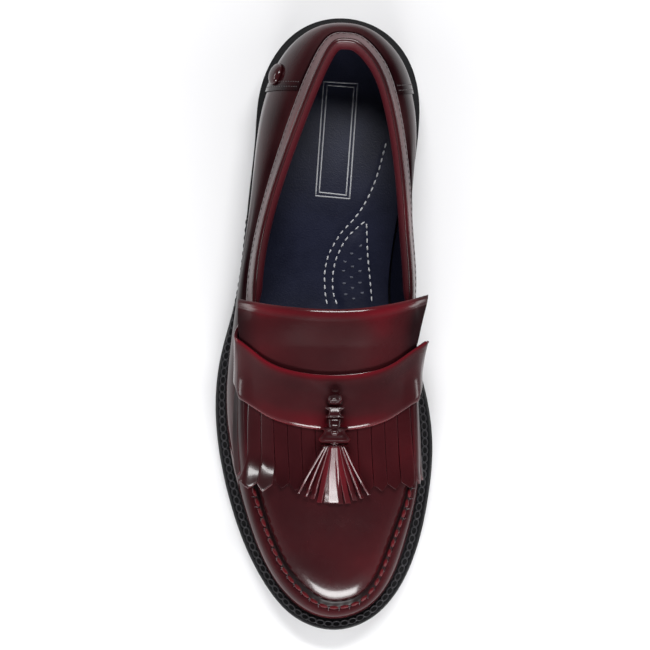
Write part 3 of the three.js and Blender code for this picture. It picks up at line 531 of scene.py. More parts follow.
def polishedLeather(name, rough=0.22, coat=0.2, gloss=0.35, wall=False, patchiness=0.8):
    look = Look(name, Coat_Roughness=0.08, Specular_IOR_Level=gloss)
    spot = look.spot()
    patches = look.noise(spot, 24.0, 1.5, 0.45)
    cloud = look.noise(spot, 80.0, 3.0, 0.5)
    tone = look.tone()
    level = tone + (patches - 0.5) * patchiness + (cloud - 0.5) * 0.15
    stops = [(0.05, colours["dark"]), (0.5, colours["deep"]), (0.95, colours["crimson"])]
    look.feed(Base_Color=look.node("ShaderNodeValToRGB", {"stops": stops}, {"Fac": level}))
    wear = look.noise(spot, 260.0, 3.0)
    dull = 1.0 - tone.between(0.04, 0.34)
    look.feed(Roughness=rough + (wear - 0.5) * 0.1 + (1.0 - tone) * 0.16 + dull * 0.12)
    if wall:  # the map holds how far down the wall a point lies
        _, down, _ = look.parts(look.pattern())
        sheen = (down * 0.01).between(*wallSheen["from"])
        line = (down * 0.01).between(*wallSheen["lineFrom"]) * wallSheen["line"]
        uneven = (patches - 0.5) * wallSheen["patchy"]
        look.feed(Coat_Weight=wallSheen["least"] + sheen * wallSheen["most"] + line + uneven)
    else:
        look.feed(Coat_Weight=(1.0 - dull) * coat)
    lines = look.noise(spot, 420.0, 3.0, 0.6)
    swell = look.noise(spot, 70.0, 2.0)
    look.relief(lines * 0.3 + swell * 1.2, 0.04)
    return look.material


wallSheen = {  # places down the wall: 1 the seam, 2 the foot
    "from": (1.17, 1.62), "least": 0.02, "most": 0.55, "patchy": 0.14, "lineFrom": (1.58, 1.68), "line": 0.38,
}
colours = {
    "dark": (0.009, 0.0022, 0.003, 1),
    "deep": (0.037, 0.0056, 0.0072, 1),
    "crimson": (0.105, 0.005, 0.0095, 1),
    "cut": (0.09, 0.006, 0.011, 1),
    "edgeDark": (0.02, 0.004, 0.006, 1),
    "navy": (0.007, 0.009, 0.026, 1),
    "navyLight": (0.015, 0.018, 0.044, 1),
    "lining": (0.065, 0.0025, 0.0065, 1),
    "black": (0.005, 0.005, 0.006, 1),
    "blackLight": (0.011, 0.011, 0.012, 1),
    "thread": (0.02, 0.006, 0.008, 1),
    "threadBlack": (0.034, 0.033, 0.038, 1),
    "threadWhite": (0.88, 0.89, 0.92, 1),
    "silver": (0.7, 0.71, 0.75, 1),
}


def cutEdgeLeather():
    look = Look("cutLeatherEdge", Coat_Roughness=0.2, Coat_Weight=0.25)
    spot = look.spot()
    fibres = look.noise(spot, 700.0, 3.0)
    look.feed(Base_Color=look.blend(fibres, colours["edgeDark"], colours["cut"]), Roughness=0.32 + fibres * 0.2)
    look.relief(fibres, 0.1)
    return look.material


def liningLeather():
    look = Look("liningLeather", Specular_IOR_Level=0.35)
    _, depth, _ = look.parts(look.pattern())
    spot = look.spot()
    fine = look.noise(spot, 600.0, 3.0)
    cloud = look.noise(spot, 40.0, 2.0)
    navy = look.blend(cloud, colours["navy"], colours["navyLight"])
    base = look.blend(depth.between(7.2, 7.6), colours["lining"], navy)
    look.feed(Base_Color=base, Roughness=0.5 + fine * 0.2)
    look.relief(fine * 0.4 + look.cells(spot, 1300.0) * 0.3 + depth.between(7.1, 7.7) * 1.5, 0.16)
    return look.material


def redLining():
    look = Look("redLining", Specular_IOR_Level=0.35)
    _, around, _ = look.parts(look.pattern())
    spot = look.spot()
    fine = look.noise(spot, 700.0, 3.0)
    cloud = look.noise(spot, 60.0, 2.0)
    red = look.blend(cloud, colours["edgeDark"], colours["lining"])
    red = look.blend(0.75, red, colours["lining"])
    look.feed(Base_Color=look.blend(around.between(13.5, 14.5), red, colours["navy"]))
    look.feed(Roughness=0.38 + fine * 0.2)
    look.relief(fine * 0.5 + look.cells(spot, 1300.0) * 0.4, 0.12)
    return look.material


def insoleLeather():
    look = Look("insoleLeather", Specular_IOR_Level=0.4)
    spot = look.spot()
    fine = look.noise(spot, 900.0, 2.0)
    cloud = look.noise(spot, 34.0, 4.0, 0.65)
    look.feed(
        Base_Color=look.blend(cloud.between(0.3, 0.75), colours["navy"], colours["navyLight"]),
        Roughness=0.36 + fine * 0.22 + cloud * 0.1,
    )
    look.relief(fine * 0.5 + look.cells(spot, 1500.0) * 0.5, 0.12)
    return look.material


def blackLeather(name, light, rough, stripe=0.0):
    look = Look(name, Specular_IOR_Level=0.12)
    spot = look.spot()
    fine = look.noise(spot, 800.0, 3.0)
    cloud = look.noise(spot, 60.0, 3.0)
    base = look.blend(cloud * 0.6 + fine * 0.4, colours["black"], light)
    look.feed(Base_Color=base, Roughness=rough + fine * 0.2)
    height = fine * 0.6 + look.cells(spot, 1400.0) * 0.5
    if stripe:  # ribs across the piece's own map
        around, _, _ = look.parts(look.pattern())
        height = height * 0.4 + (around * (2 * math.pi / stripe)).maths("SINE") * look.tone() * 0.5
    look.relief(height, 0.28 if stripe else 0.18)
    return look.material


def plainThread(name, colour, rough=0.5, coat=0.0, gloss=0.4):
    look = Look(name, Specular_IOR_Level=gloss, Coat_Weight=coat, Coat_Roughness=0.1)
    spot = look.spot()
    fine = look.noise(spot, 2400.0, 2.0)
    worn = look.noise(spot, 120.0, 2.0)
    low = tuple(0.6 * channel for channel in colour[:3]) + (1,)
    look.feed(Base_Color=look.blend(fine * 0.5 + worn * 0.5, low, colour), Roughness=rough + fine * 0.2)
    look.relief(fine, 0.15)
    return look.material


upperLeather = polishedLeather("polishedUpper", 0.11, 0.25)
wallLeather = polishedLeather("polishedWall", 0.16, gloss=0.0, wall=True)
sideLeather = polishedLeather("polishedSide", 0.2, 0.04, 0.05, patchiness=1.15)
flapLeather = polishedLeather("polishedFlap", 0.12, 0.16, 0.3)
tasselLeather = polishedLeather("polishedTassel", 0.1, 0.3)
beadLook = plainThread("seamBeads", (0.088, 0.001, 0.004, 1), 0.35, 0.02, 0.15)
sparkThread = plainThread("paleThread", (0.06, 0.04, 0.045, 1), 0.25, 0.3)
cutLeather = cutEdgeLeather()
lining = liningLeather()
liningRed = redLining()
pinLook = plainThread("pinholeGrey", (0.2, 0.21, 0.27, 1), 0.5)
insoleLook = insoleLeather()
weltLook = blackLeather("weltLeather", colours["blackLight"], 0.42)
rubberLook = blackLeather("soleRubber", colours["blackLight"], 0.5)
ribLook = blackLeather("ribbedRubber", colours["blackLight"], 0.5, 1.5)
threadDark = plainThread("darkThread", colours["thread"], 0.35)
threadBlack = plainThread("blackThread", colours["threadBlack"], 0.4)
threadWhite = plainThread("whiteThread", colours["threadWhite"], 0.6)
silverPrint = plainThread("silverPrint", colours["silver"], 0.4)
print("materials ready")

# upper
upper = {
    "columns": 520,
    "rows": 80,
    "ridge": 1.25,  # height of the moccasin ridge at the forepart
    "quietRidge": 0.6,  # and beside the strap
    "stitchPitch": 5.2,
    "bandRise": 0.6,
    "apronFall": 1.0,  # how far the apron dips before its seam
    "rimRadius": 1.2,
    "creases": [  # ray, share, half length, half width in share, depth
        (198, 1.34, 13, 0.05, 0.5), (206, 1.5, 11, 0.05, 0.4), (455, 1.36, 14, 0.05, 0.5),
        (446, 1.53, 11, 0.05, 0.4), (100, 1.4, 16, 0.06, 0.35), (560, 1.4, 18, 0.06, 0.35),
    ],
}


def seamFrame(ray):
    top, shoulder, _, _ = wallHandles(ray)
    topLength = np.linalg.norm(edgePoint(ray, "collar") - top, axis=-1)
    return topLength, 3 * np.linalg.norm(top - shoulder, axis=-1)


def fromSeam(ray, share):  # millimetres over the skin, negative above the seam
    topLength, pace = seamFrame(ray)
    return np.where(share < 1, (share - 1) * topLength, (share - 1) * pace)


seamRays = np.linspace(0, rayPeriod, 3000)
seamRun = np.concatenate([[0], np.cumsum(np.linalg.norm(np.diff(edgePoint(seamRays, "seam"), axis=0), axis=1))])


def upperRelief(ray, share):
    away = fromSeam(ray, share)
    along = rayCurves["seamAlong"](ray) * soleLength
    run = np.interp(np.mod(ray, rayPeriod), seamRays, seamRun)
    fore = smooth(along, 0.73 * soleLength, 0.77 * soleLength)
    ridgeTall = mix(upper["quietRidge"] * smooth(along, 0.46 * soleLength, 0.5 * soleLength), upper["ridge"], fore)
    wave = np.cos(2 * math.pi * run / upper["stitchPitch"])
    besides = 0.3 * bump(away, -1.8, 0.6) + 0.22 * bump(away, 2.6, 0.9)
    ridge = ridgeTall * (bump(away, 0, 1.25) * (1 + 0.12 * wave) - besides)
    gathers = ridgeTall * 0.28 * wave * bump(away, 2.6, 1.9)
    band = 1 - smooth(along, 0.47 * soleLength, 0.51 * soleLength)
    bandStep = band * (upper["bandRise"] * (1 - smooth(away, -0.5, 0.15)) - 0.45 * bump(away, 0.25, 0.4))
    soft = 0.1 * np.sin(ray / 17 + 2.2 * share) + 0.07 * np.sin(ray / 9.3 - 5 * share + 1)
    soft = soft * smooth(np.abs(away), 2, 8)
    fall = -upper["apronFall"] * fore * smooth(away, -6.6, -1.3) * (1 - smooth(away, -1.0, 0.4))
    relief = ridge + gathers + bandStep + soft + fall - 0.35 * fore * bump(away, -1.9, 0.6)
    for middle, level, reach, width, depth in upper["creases"]:
        bow = level + 0.03 * ((ray - middle) / reach) ** 2
        dent = bump(share, bow, width) - 0.6 * bump(share, bow + 1.9 * width, width)
        relief = relief - depth * dent * bump(ray, middle, reach)
    return relief


def rowShare(ray, w):  # rows gather beside the seam
    topLength, pace = seamFrame(ray)
    near = np.minimum(3.4, 0.45 * topLength)
    high = 1 - near / topLength
    low = 1 + 3.6 / pace
    return np.select(
        [w < 0.3, w < 0.39, w < 0.5],
        [high * w / 0.3, mix(high, 1, (w - 0.3) / 0.09), mix(1, low, (w - 0.39) / 0.11)],
        mix(low, 2, (w - 0.5) / 0.5),
    )


def upperSurface(ray, share):
    return skin(ray, share) + skinFacing(ray, share) * upperRelief(ray, share)[..., None]


def upperShape(u, w):
    ray = u * rayPeriod
    share = rowShare(ray, w)
    points = upperSurface(ray, share)
    away = fromSeam(ray, share)
    topLength, pace = seamFrame(ray)
    depth = np.where(share < 1, share * topLength, 100 * share)
    along = points[:, 0] / soleLength
    fore = smooth(along, 0.47, 0.53)
    belowSeam = smooth(share, 1, 1.1)
    # at the quarters the walls below the seam take a much darker tone than the band above: painted shade on the side
    # walls
    tone = mix(mix(0.5, 0.14, belowSeam), mix(0.38, 0.34, belowSeam), fore) + 0.06 * np.sin(ray / 31)
    # a dark line just below the seam; the second term is a painted shadow line in the groove on the apron side of the
    # forepart seam
    tone = tone - 0.45 * bump(away, 0.6, mix(0.9, 1.7, fore)) - 0.3 * fore * bump(away, -1.5, 0.9)
    # lighter along the collar's top edge behind the forepart: a painted highlight on the rolled topline
    tone = tone + 0.2 * (1 - smooth(depth, 0, 3.5)) * (1 - fore)
    # on the apron's top: a lighter patch near the toe as a painted reflection, and behind it a darker patch of the
    # leather's own antiquing
    patchAndSheen = 0.14 * bump(along, 0.885, 0.03) - 0.1 * bump(along, 0.815, 0.03)
    tone = tone + patchAndSheen * (1 - smooth(share, 0.7, 1))
    return points, np.stack([ray, depth], axis=1), np.clip(tone, 0, 1)


bm = gridMesh(upper["columns"], upper["rows"], upperShape, closeAround=True, lowFrom=0.4 * upper["rows"])
shellLooks = [upperLeather, lining, upperLeather, wallLeather, lining, wallLeather]
finishPiece("upperShell", bm, shellLooks, ["upper"], wall=shoe["upperWall"] - 0.1)


def rimShape(u, w):
    ray = u * rayPeriod
    angle = 2 * math.pi * w
    outward = skinFacing(ray, np.full(len(u), 0.02))
    edge = skin(ray, np.zeros(len(u)))
    around = unit(skin(ray + 1, np.zeros(len(u))) - skin(ray - 1, np.zeros(len(u))))
    rise = unit(np.cross(around, outward))
    rise = rise * np.sign(rise[:, 2:3] + 1e-9)
    centre = edge - outward * 0.45 + rise * 0.1
    radius = upper["rimRadius"]
    points = centre + outward * (radius * 1.05 * np.cos(angle))[:, None] + rise * (radius * np.sin(angle))[:, None]
    return points, np.stack([ray, w * 8], axis=1), np.full(len(u), 0.42)


bm = gridMesh(480, 14, rimShape, closeAround=True, closeRows=True)
finishPiece("collarRim", bm, [upperLeather], recalc=True)

collarRoll = [  # how far in and up
    (0.9, 0.9), (1.5, 0.4), (2.5, -0.7), (3.6, -2.5), (4.2, -4.8), (4.1, -7.4),
    (3.4, -10.0), (2.3, -13.0), (1.4, -13.4), (1.2, -6.0), (0.9, 0.9),
]
rollIn = curveThrough(range(len(collarRoll)), [row[0] for row in collarRoll])
rollUp = curveThrough(range(len(collarRoll)), [row[1] for row in collarRoll])


def collarLiningShape(u, w):  # a padded lining that shows as a strip inside the rim
    ray = u * rayPeriod
    at = w * (len(collarRoll) - 1)
    outward = skinFacing(ray, np.full(len(u), 0.3))
    outward[:, 2] = 0
    outward = unit(outward)
    edge = skin(ray, np.zeros(len(u)))
    fade = 1 - smooth(edge[:, 0], 0.44 * soleLength, 0.49 * soleLength) * 0.6
    points = edge - outward * (rollIn(at) * fade)[:, None]
    points[:, 2] += rollUp(at) * mix(0.7, 1, fade)
    return points, np.stack([ray, w * 25], axis=1), 0.5


bm = gridMesh(420, 30, collarLiningShape, closeAround=True, closeRows=True)
finishPiece("collarLining", bm, [liningRed], recalc=True)

seam = {  # the sewn beads, and beside each gap short loops of paler thread
    "bead": (4.9, 1.9, 1.4), "spark": (0.42, 0.6), "sparks": [(0.9, 1.3), (1.9, 0.7)],  # how far out, length
    "toeFrom": 240, "toeCentre": 150,
}
bm, beads = bmesh.new(), bmesh.new()
rayRow = np.linspace(0, rayPeriod, 4000)
seamPath = upperSurface(rayRow, np.ones(4000))
seamNormal = skinFacing(rayRow, np.ones(4000))
keep = np.abs(seamPath[:, 0]) > 0.483 * soleLength
path, normals = seamPath[keep], seamNormal[keep]
points, aheads, where = evenly(path, upper["stitchPitch"])
lengths = np.concatenate([[0], np.cumsum(np.linalg.norm(np.diff(path, axis=0), axis=1))])
for point, ahead, at in zip(points, aheads, where):
    normal = unit(np.array([np.interp(at * lengths[-1], lengths, normals[:, k]) for k in range(3)]))
    side = np.cross(normal, ahead)
    slant = unit(side + 0.2 * ahead)
    between = point + ahead * upper["stitchPitch"] / 2
    outward = np.array([0, np.sign(point[1] + 4), 0.0])
    if point[0] > seam["toeFrom"]:
        outward = unit(point * [1, 1, 0] - [seam["toeCentre"], 0, 0])
    for shift, length in seam["sparks"]:
        spot = between + outward * shift - normal * 0.25 * shift
        stitch(bm, spot, asWorld(slant), asWorld(normal), (length, *seam["spark"]), jitter=0.3)
    lean = unit(ahead + 0.16 * side)
    stitch(beads, point, asWorld(lean), asWorld(normal), seam["bead"], sink=0.1, jitter=0.06)
finishPiece("seamStitches", bm, [sparkThread])
finishPiece("seamBeads", beads, [beadLook])

bm = bmesh.new()
bandPath = upperSurface(rayRow, 1 - 1.5 / np.maximum(seamFrame(rayRow)[0], 3))
keep = bandPath[:, 0] < 0.47 * soleLength
order = np.argsort(np.where(rayRow > rayPeriod / 2, rayRow - rayPeriod, rayRow)[keep])
path = bandPath[keep][order]
pathNormals = skinFacing(rayRow, np.full(4000, 0.8))[keep][order]
points, aheads, where = evenly(path, 3.0)
for point, ahead, at in zip(points, aheads, where):
    normal = pathNormals[int(at * (len(path) - 1))]
    stitch(bm, point, asWorld(ahead), asWorld(normal), (2.0, 0.5, 0.45), sink=0.02)
finishPiece("bandStitches", bm, [threadDark])

# heel counter and its stud
counter = {
    "from": rayKnots[29] - rayPeriod, "to": rayKnots[3], "top": 1.0, "foot": 1.93, "lift": 0.12, "thickness": 0.62,
}


def counterPoint(ray, part, lift):
    _, pace = seamFrame(ray)
    share = mix(1 + counter["top"] / pace, counter["foot"], part)
    return skin(ray, share) + skinFacing(ray, share) * lift


def counterShape(u, w):
    ray = mix(counter["from"], counter["to"], u)
    points = counterPoint(ray, w, counter["lift"] + counter["thickness"])
    share = mix(1 + counter["top"] / seamFrame(ray)[1], counter["foot"], w)
    # lighter down the middle of the back as a painted highlight; darker along both ends and the top edge as painted
    # shade where the counter steps onto the quarter
    tone = 0.2 + 0.16 * bump(u, 0.5, 0.2) - 0.3 * bump(u, 0, 0.03) - 0.3 * bump(u, 1, 0.03) - 0.3 * bump(w, 0, 0.02)
    return points, np.stack([ray, 100 * share], axis=1), np.clip(tone, 0, 1)


bm = gridMesh(150, 44, counterShape)
counterLooks = [wallLeather, lining, wallLeather]
finishPiece("heelCounter", bm, counterLooks, ["heel_counter"], wall=0.68, edge=0.25)

bm = bmesh.new()
for end, sign in ((counter["from"], 1), (counter["to"], -1)):
    for inward in (2.0, 4.6):
        parts = np.linspace(0.04, 0.97, 90)
        ray = np.full(90, end + sign * inward)
        path = counterPoint(ray, parts, counter["lift"] + counter["thickness"])
        points, aheads, where = evenly(path, 2.6)
        for point, ahead, at in zip(points, aheads, where):
            normal = skinFacing(ray[:1], np.array([mix(1.03, 1.93, at)]))[0]
            stitch(bm, point, asWorld(ahead), asWorld(normal), (1.8, 0.5, 0.4), sink=0.02)
finishPiece("counterStitches", bm, [threadDark])

stud = {"ray": mix(rayKnots[29], rayKnots[30], 0.42), "down": 1.55, "radius": 5.6, "height": 3.6}


def studShape(u, w):
    ray, down = np.array([stud["ray"]]), np.array([stud["down"]])
    facing = skinFacing(ray, down)[0]
    seat = skin(ray, down)[0] + facing * (counter["lift"] + counter["thickness"] + 0.05)
    sideways = unit(np.cross(facing, [0, 0, 1.0]))
    upward = np.cross(sideways, facing)
    angle = 2 * math.pi * u
    radius = stud["radius"] * w
    height = stud["height"] * (np.sqrt(np.maximum(0, 1 - w**2.2)) * 0.94 + 0.02)
    points = seat + sideways * (radius * np.cos(angle))[:, None] + upward * (radius * np.sin(angle))[:, None]
    return points + facing * height[:, None], np.stack([u * 30, w * 6], axis=1), 0.2 + 0.2 * w


bm = gridMesh(40, 16, studShape, closeAround=True)
capEnds(bm)
finishPiece("heelStud", bm, [upperLeather], ["heel_stud"], recalc=True)

# kiltie: flap and fringe
kiltie = {
    "glossyRows": 5,  # the rolled top edge shines more than the rest
    "thickness": 1.2, "flapReach": 0.421 * ballWidth, "flapMiddle": -0.025 * ballWidth,
    "fringeIn": 0.49 * ballWidth, "fringeOut": 0.495 * ballWidth, "flapLift": 1.4, "wingUp": 0.975,
    "point": 3.2, "slit": 0.3, "strips": 16, "columns": 8, "flapRows": 46, "stripRows": 34,
    "creaseLift": 0.8, "creaseReach": 8.0, "seat": gap + 0.05,
    "waist": 3.2, "waistFrom": (133, 152), "waistTo": (166, 184),  # the inner side draws in here
    "roll": 1.9, "rollReach": 3.4, "turnedTips": (2, 3),
}
fringeTips = [(-1, 0.738), (-0.8, 0.75), (-0.35, 0.762), (0, 0.768), (0.4, 0.764), (0.8, 0.753), (1, 0.744)]
[tipShare] = tableCurves(fringeTips)


def kiltieReach(along, side):
    fringe = np.where(side > 0, kiltie["fringeIn"], kiltie["fringeOut"])
    waist = np.where(side > 0, kiltie["waist"], 0.0)
    waist = waist * smooth(along, *kiltie["waistFrom"]) * (1 - smooth(along, *kiltie["waistTo"]))
    return mix(kiltie["flapReach"], fringe, smooth(along / soleLength, 0.54, 0.62)) - waist


def cover(along, girth, lift):  # the underside of the kiltie, with a lift above it
    along, girth, lift = [np.array(v, float) for v in np.broadcast_arrays(along, girth, lift)]
    share = shareAt(along, girth)
    size = np.abs(girth)
    crease = kiltie["creaseLift"] * (1 - smooth(np.abs(size - seamGirth(along, girth)), 0, kiltie["creaseReach"]))
    rise = kiltie["seat"] + lift + crease + 1.1 * smooth(along, 0.72 * soleLength, 0.765 * soleLength)
    laid = place(along, share) + placeFacing(along, share) * rise[..., None]
    pastWing = smooth(size, kiltie["flapReach"] + 1, kiltie["flapReach"] + 5)
    free = (1 - smooth(along, 0.492 * soleLength, 0.59 * soleLength)) * (1 - pastWing)
    top = outsoleTop(along) + spineUp(along / soleLength) * quarterHeight + kiltie["flapLift"]
    wing = outsoleTop(along) + kiltie["wingUp"] * quarterHeight
    part = girth / kiltie["flapReach"]
    flap = stack(along, kiltie["flapMiddle"] + girth, mix(top, wing, np.abs(part) ** 2.2) + lift)
    return mix(laid, flap, free[..., None])


stripTwist = [random.uniform(-0.5, 0.5) for _ in range(kiltie["strips"])]
stripLift = [0.35 + 0.35 * math.sin(strip * 2.4 + 0.6) for strip in range(kiltie["strips"])]
tipTwist = [0.0, 0.0, 2.6, 2.2] + [0.0] * (kiltie["strips"] - 4)
tipCurl = [  # slope of each tip
    0.0, 0.0, 0.62, 0.75, 0.0, 0.06, 0.0, 0.02, 0.04, 0.0, 0.05, 0.0, 0.03, 0.06, 0.0, 0.08,
]


def kiltieShape(u, w):
    count = kiltie["strips"]
    column = np.rint(u * (count * kiltie["columns"] - 1)).astype(int)
    strip = column // kiltie["columns"]
    part = (column % kiltie["columns"]) / (kiltie["columns"] - 1)
    half = kiltie["slit"] / 2 / kiltie["fringeIn"]
    across = 2 * strip / count - 1 + half + part * (2 / count - 2 * half)
    pointed = np.where(across < 0, 0.4, 0.6)
    fromPoint = np.where(part < pointed, (pointed - part) / pointed, (part - pointed) / (1 - pointed))
    flapShare = kiltie["flapRows"] / (kiltie["flapRows"] + kiltie["stripRows"])
    drop = np.where(across < 0, 0.0155, 0.025)
    top = (0.475 - drop * across**2) * soleLength
    root = (0.624 - 0.054 * across**2) * soleLength
    tip = tipShare(across) * soleLength - kiltie["point"] * fromPoint
    inStrip = np.clip((w - flapShare) / (1 - flapShare), 0, 1)
    along = np.where(w <= flapShare, mix(top, root, w / flapShare), mix(root, tip, inStrip))
    girth = across * kiltieReach(along, across)
    lift = np.array(stripLift)[strip]
    twist = np.array(stripTwist)[strip]
    rise = lift * inStrip**2 + twist * (part - 0.5) * inStrip * 0.9
    fromTip = np.maximum(0, along - (tipShare(across) * soleLength - 15))
    rise = rise + np.array(tipCurl)[strip] * fromTip**2 / (fromTip + 6) * inStrip
    rise = rise + np.array(tipTwist)[strip] * (0.5 - part) * np.minimum(1, fromTip / 8) * inStrip
    rise = rise - 0.1 * (2 * part - 1) ** 2 * smooth(inStrip, 0, 0.2)
    fromTop = along - top
    roll = kiltie["roll"] * np.clip(1 - fromTop / kiltie["rollReach"], 0, 1) ** 2
    swell = 0.25 * np.sin(across * 5 + 0.6) * bump(along, 0.53 * soleLength, 12)
    points = cover(along, girth, kiltie["thickness"] + rise - roll + swell)
    # lighter along the rolled top edge as a painted reflection on the roll; a little darker further down
    tone = 0.4 + 0.36 * bump(fromTop, 2.0, 3.2) - 0.08 * bump(fromTop, 15, 9)
    # the strips are a little darker than the flap, and lighter along their cut sides as a painted highlight on the
    # edges
    tone = tone - 0.1 * inStrip + 0.12 * bump(np.abs(2 * part - 1), 1, 0.12) * inStrip
    tone = tone - 0.3 * smooth(np.abs(across), 0.75, 1) + 0.16 * bump(across, 0.62, 0.3)
    return points, np.stack([girth, along], axis=1), np.clip(tone, 0, 1)


columnCount = kiltie["strips"] * kiltie["columns"] - 1
rowCount = kiltie["flapRows"] + kiltie["stripRows"]
bm = gridMesh(columnCount, rowCount, kiltieShape)
bm.faces.ensure_lookup_table()
bm.verts.ensure_lookup_table()
gaps = []
for index, face in enumerate(bm.faces):
    row, cell = divmod(index, columnCount)
    if row >= kiltie["flapRows"] and cell % kiltie["columns"] == kiltie["columns"] - 1:
        gaps.append(face)
    glossyTip = row >= kiltie["flapRows"] and cell // kiltie["columns"] in kiltie["turnedTips"]
    if row > kiltie["glossyRows"] and not glossyTip:
        face.material_index = 3
bmesh.ops.delete(bm, geom=gaps, context="FACES")
bmesh.ops.reverse_faces(bm, faces=bm.faces)
flapLooks = [flapLeather, weltLook, cutLeather, sideLeather, weltLook, cutLeather]
finishPiece("kiltieFlap", bm, flapLooks, ["kiltie"], wall=1.1, edge=0.16)

# saddle strap
strap = {
    "thickness": 1.7, "drop": 6.0, "tuck": 2.2, "cornerShare": 0.29, "seat": gap + 0.25,
    "creaseLift": 0.3, "step": (2.0, 8.5),
    "shape": [  # place across, 0.5 the seam; middle and half width as shares of sole length
        (-1, 0.553, 0.049), (-0.5, 0.569, 0.0485), (-0.375, 0.5945, 0.0456), (-0.2, 0.613, 0.044),
        (0, 0.6194, 0.044), (0.2, 0.615, 0.044), (0.375, 0.597, 0.0446), (0.5, 0.571, 0.0475), (1, 0.561, 0.046),
    ],
}
strapMiddle, strapHalf = tableCurves(strap["shape"])


def strapPoint(along, across, lift):
    side = np.where(across < 0, -1.0, 1.0)
    seam = seamGirth(along, side)
    past = np.maximum(0, 2 * np.abs(across) - 1)
    girth = side * (np.minimum(1, 2 * np.abs(across)) * seam + past * strap["drop"])
    crease = strap["creaseLift"] * (1 - smooth(np.abs(np.abs(girth) - seam), 0, kiltie["creaseReach"] * 1.5))
    fringe = np.where(side > 0, kiltie["fringeIn"], kiltie["fringeOut"])
    reach = mix(kiltie["flapReach"], fringe, smooth(along / soleLength, 0.54, 0.62)) - strap["tuck"] * (side > 0)
    over = 1 - smooth(np.abs(girth), reach + strap["step"][0], reach + strap["step"][1])
    return cover(along, girth, lift + over * (kiltie["thickness"] + strap["seat"]) + crease)


def strapShape(u, w):
    across = 2 * u - 1
    row = 2 * w - 1
    # the upper edge stops short of the seam on the inner side, where the flap draws in
    inward = mix(1, strap["cornerShare"], smooth(-row, -0.1, 0.9))
    across = np.where(across > 0.3, 0.3 + (across - 0.3) * inward, across)
    ends = np.clip((np.abs(across) - 0.86) / 0.14, 0, 1)
    half = strapHalf(across) * (1 - 0.2 * ends**3)
    along = (strapMiddle(across) + row * half) * soleLength
    edge = (1 - np.abs(row)) * half * soleLength
    pillow = 0.7 * np.clip(1 - edge / 2.4, 0, 1) ** 2
    swell = 0.12 * np.sin(across * 9 + row) - pillow - 0.5 * ends**4
    points = strapPoint(along, across, strap["thickness"] + swell)
    tone = 0.45 + 0.35 * bump(edge, 0, 2.2) * (row < 0) + 0.25 * smooth(row, 0.1, 0.8) * bump(across, 0.05, 0.45)
    tone = tone - 0.1 * bump(row, -0.55, 0.3) + 0.25 * bump(edge, 0, 0.9)
    return points, np.stack([across * 60, along], axis=1), np.clip(tone, 0, 1)


bm = gridMesh(190, 34, strapShape, flip=True)
strapLooks = [flapLeather, weltLook, cutLeather]
finishPiece("saddleStrap", bm, strapLooks, ["saddle_strap"], wall=1.55, edge=0.3)

# tassel
tassel = {"across": -0.013 * ballWidth, "start": 0.608 * soleLength, "length": 52.5, "head": 12.2, "skirt": 37.5}
strapLowerEdge = float(strapMiddle(0) + strapHalf(0)) * soleLength


def overFringe(along, across, lift):
    _, _, inner, outer = sidesAt(along)
    return cover(along, across - (inner[..., 1] + outer[..., 1]) / 2, kiltie["thickness"] + 0.7 + lift)[..., 2]


def tasselSeat(along):
    step = (strap["thickness"] + gap) * (1 - smooth(along, strapLowerEdge + 0.4, strapLowerEdge + 5))
    ridge = 1.1 * smooth(along, 0.72 * soleLength, 0.765 * soleLength)
    return overFringe(along, np.full_like(along, tassel["across"]), step - ridge) + gap * 2


def turnedShape(profile, ribs=0, ribDepth=0.0, twist=0.0, tones=(0.4, 0.6), flatness=1.0):
    wide, high = tableCurves(profile)

    def shape(u, w):
        share = mix(profile[0][0], profile[-1][0], w)
        along = tassel["start"] + share * tassel["length"]
        angle = 2 * math.pi * u
        ripple = 1 + ribDepth * np.cos(ribs * angle + twist * w) if ribs else 1.0
        halfWide = np.maximum(0.02, wide(share)) * tassel["head"] * ripple
        halfHigh = np.maximum(0.02, high(share)) * tassel["head"] * ripple
        centre = tasselSeat(along) + np.maximum(0.02, high(share)) * tassel["head"]
        sideways = np.sign(np.cos(angle)) * np.abs(np.cos(angle)) ** flatness
        upward = np.sign(np.sin(angle)) * np.abs(np.sin(angle)) ** flatness
        points = stack(along, tassel["across"] + halfWide * sideways, centre + halfHigh * upward)
        # lighter where the tie and head turn to the sides: painted light on their flanks
        sides = 0.45 * np.abs(np.cos(angle)) ** 8
        return points, np.stack([u * 30, w * 20], axis=1), mix(tones[0], tones[1], w) + sides

    return shape


# share of the tassel's length, then half width and half height as shares of the head
knotProfile = [
    (-0.004, 0.02, 0.02), (0.004, 0.15, 0.12), (0.022, 0.24, 0.2), (0.05, 0.27, 0.24),
    (0.078, 0.24, 0.2), (0.098, 0.15, 0.13), (0.106, 0.04, 0.05),
]
bandProfile = [
    (0.116, 0.2, 0.1), (0.12, 0.34, 0.15), (0.13, 0.365, 0.175),
    (0.205, 0.34, 0.175), (0.216, 0.31, 0.15), (0.22, 0.2, 0.1),
]
neckProfile = [
    (0.212, 0.14, 0.1), (0.222, 0.21, 0.13), (0.25, 0.235, 0.17), (0.288, 0.235, 0.2), (0.308, 0.2, 0.25),
    (0.33, 0.18, 0.335), (0.38, 0.18, 0.36), (0.44, 0.175, 0.362), (0.458, 0.14, 0.34), (0.462, 0.06, 0.3),
]
headProfile = [
    (0.3, 0.3, 0.16), (0.304, 0.44, 0.24), (0.318, 0.485, 0.3), (0.37, 0.5, 0.335),
    (0.44, 0.51, 0.345), (0.47, 0.5, 0.33), (0.478, 0.46, 0.3), (0.48, 0.3, 0.2),
]
bm = gridMesh(44, 26, turnedShape(knotProfile, 2, 0.07, 2.4, (0.25, 0.35)), closeAround=True)
capEnds(bm)
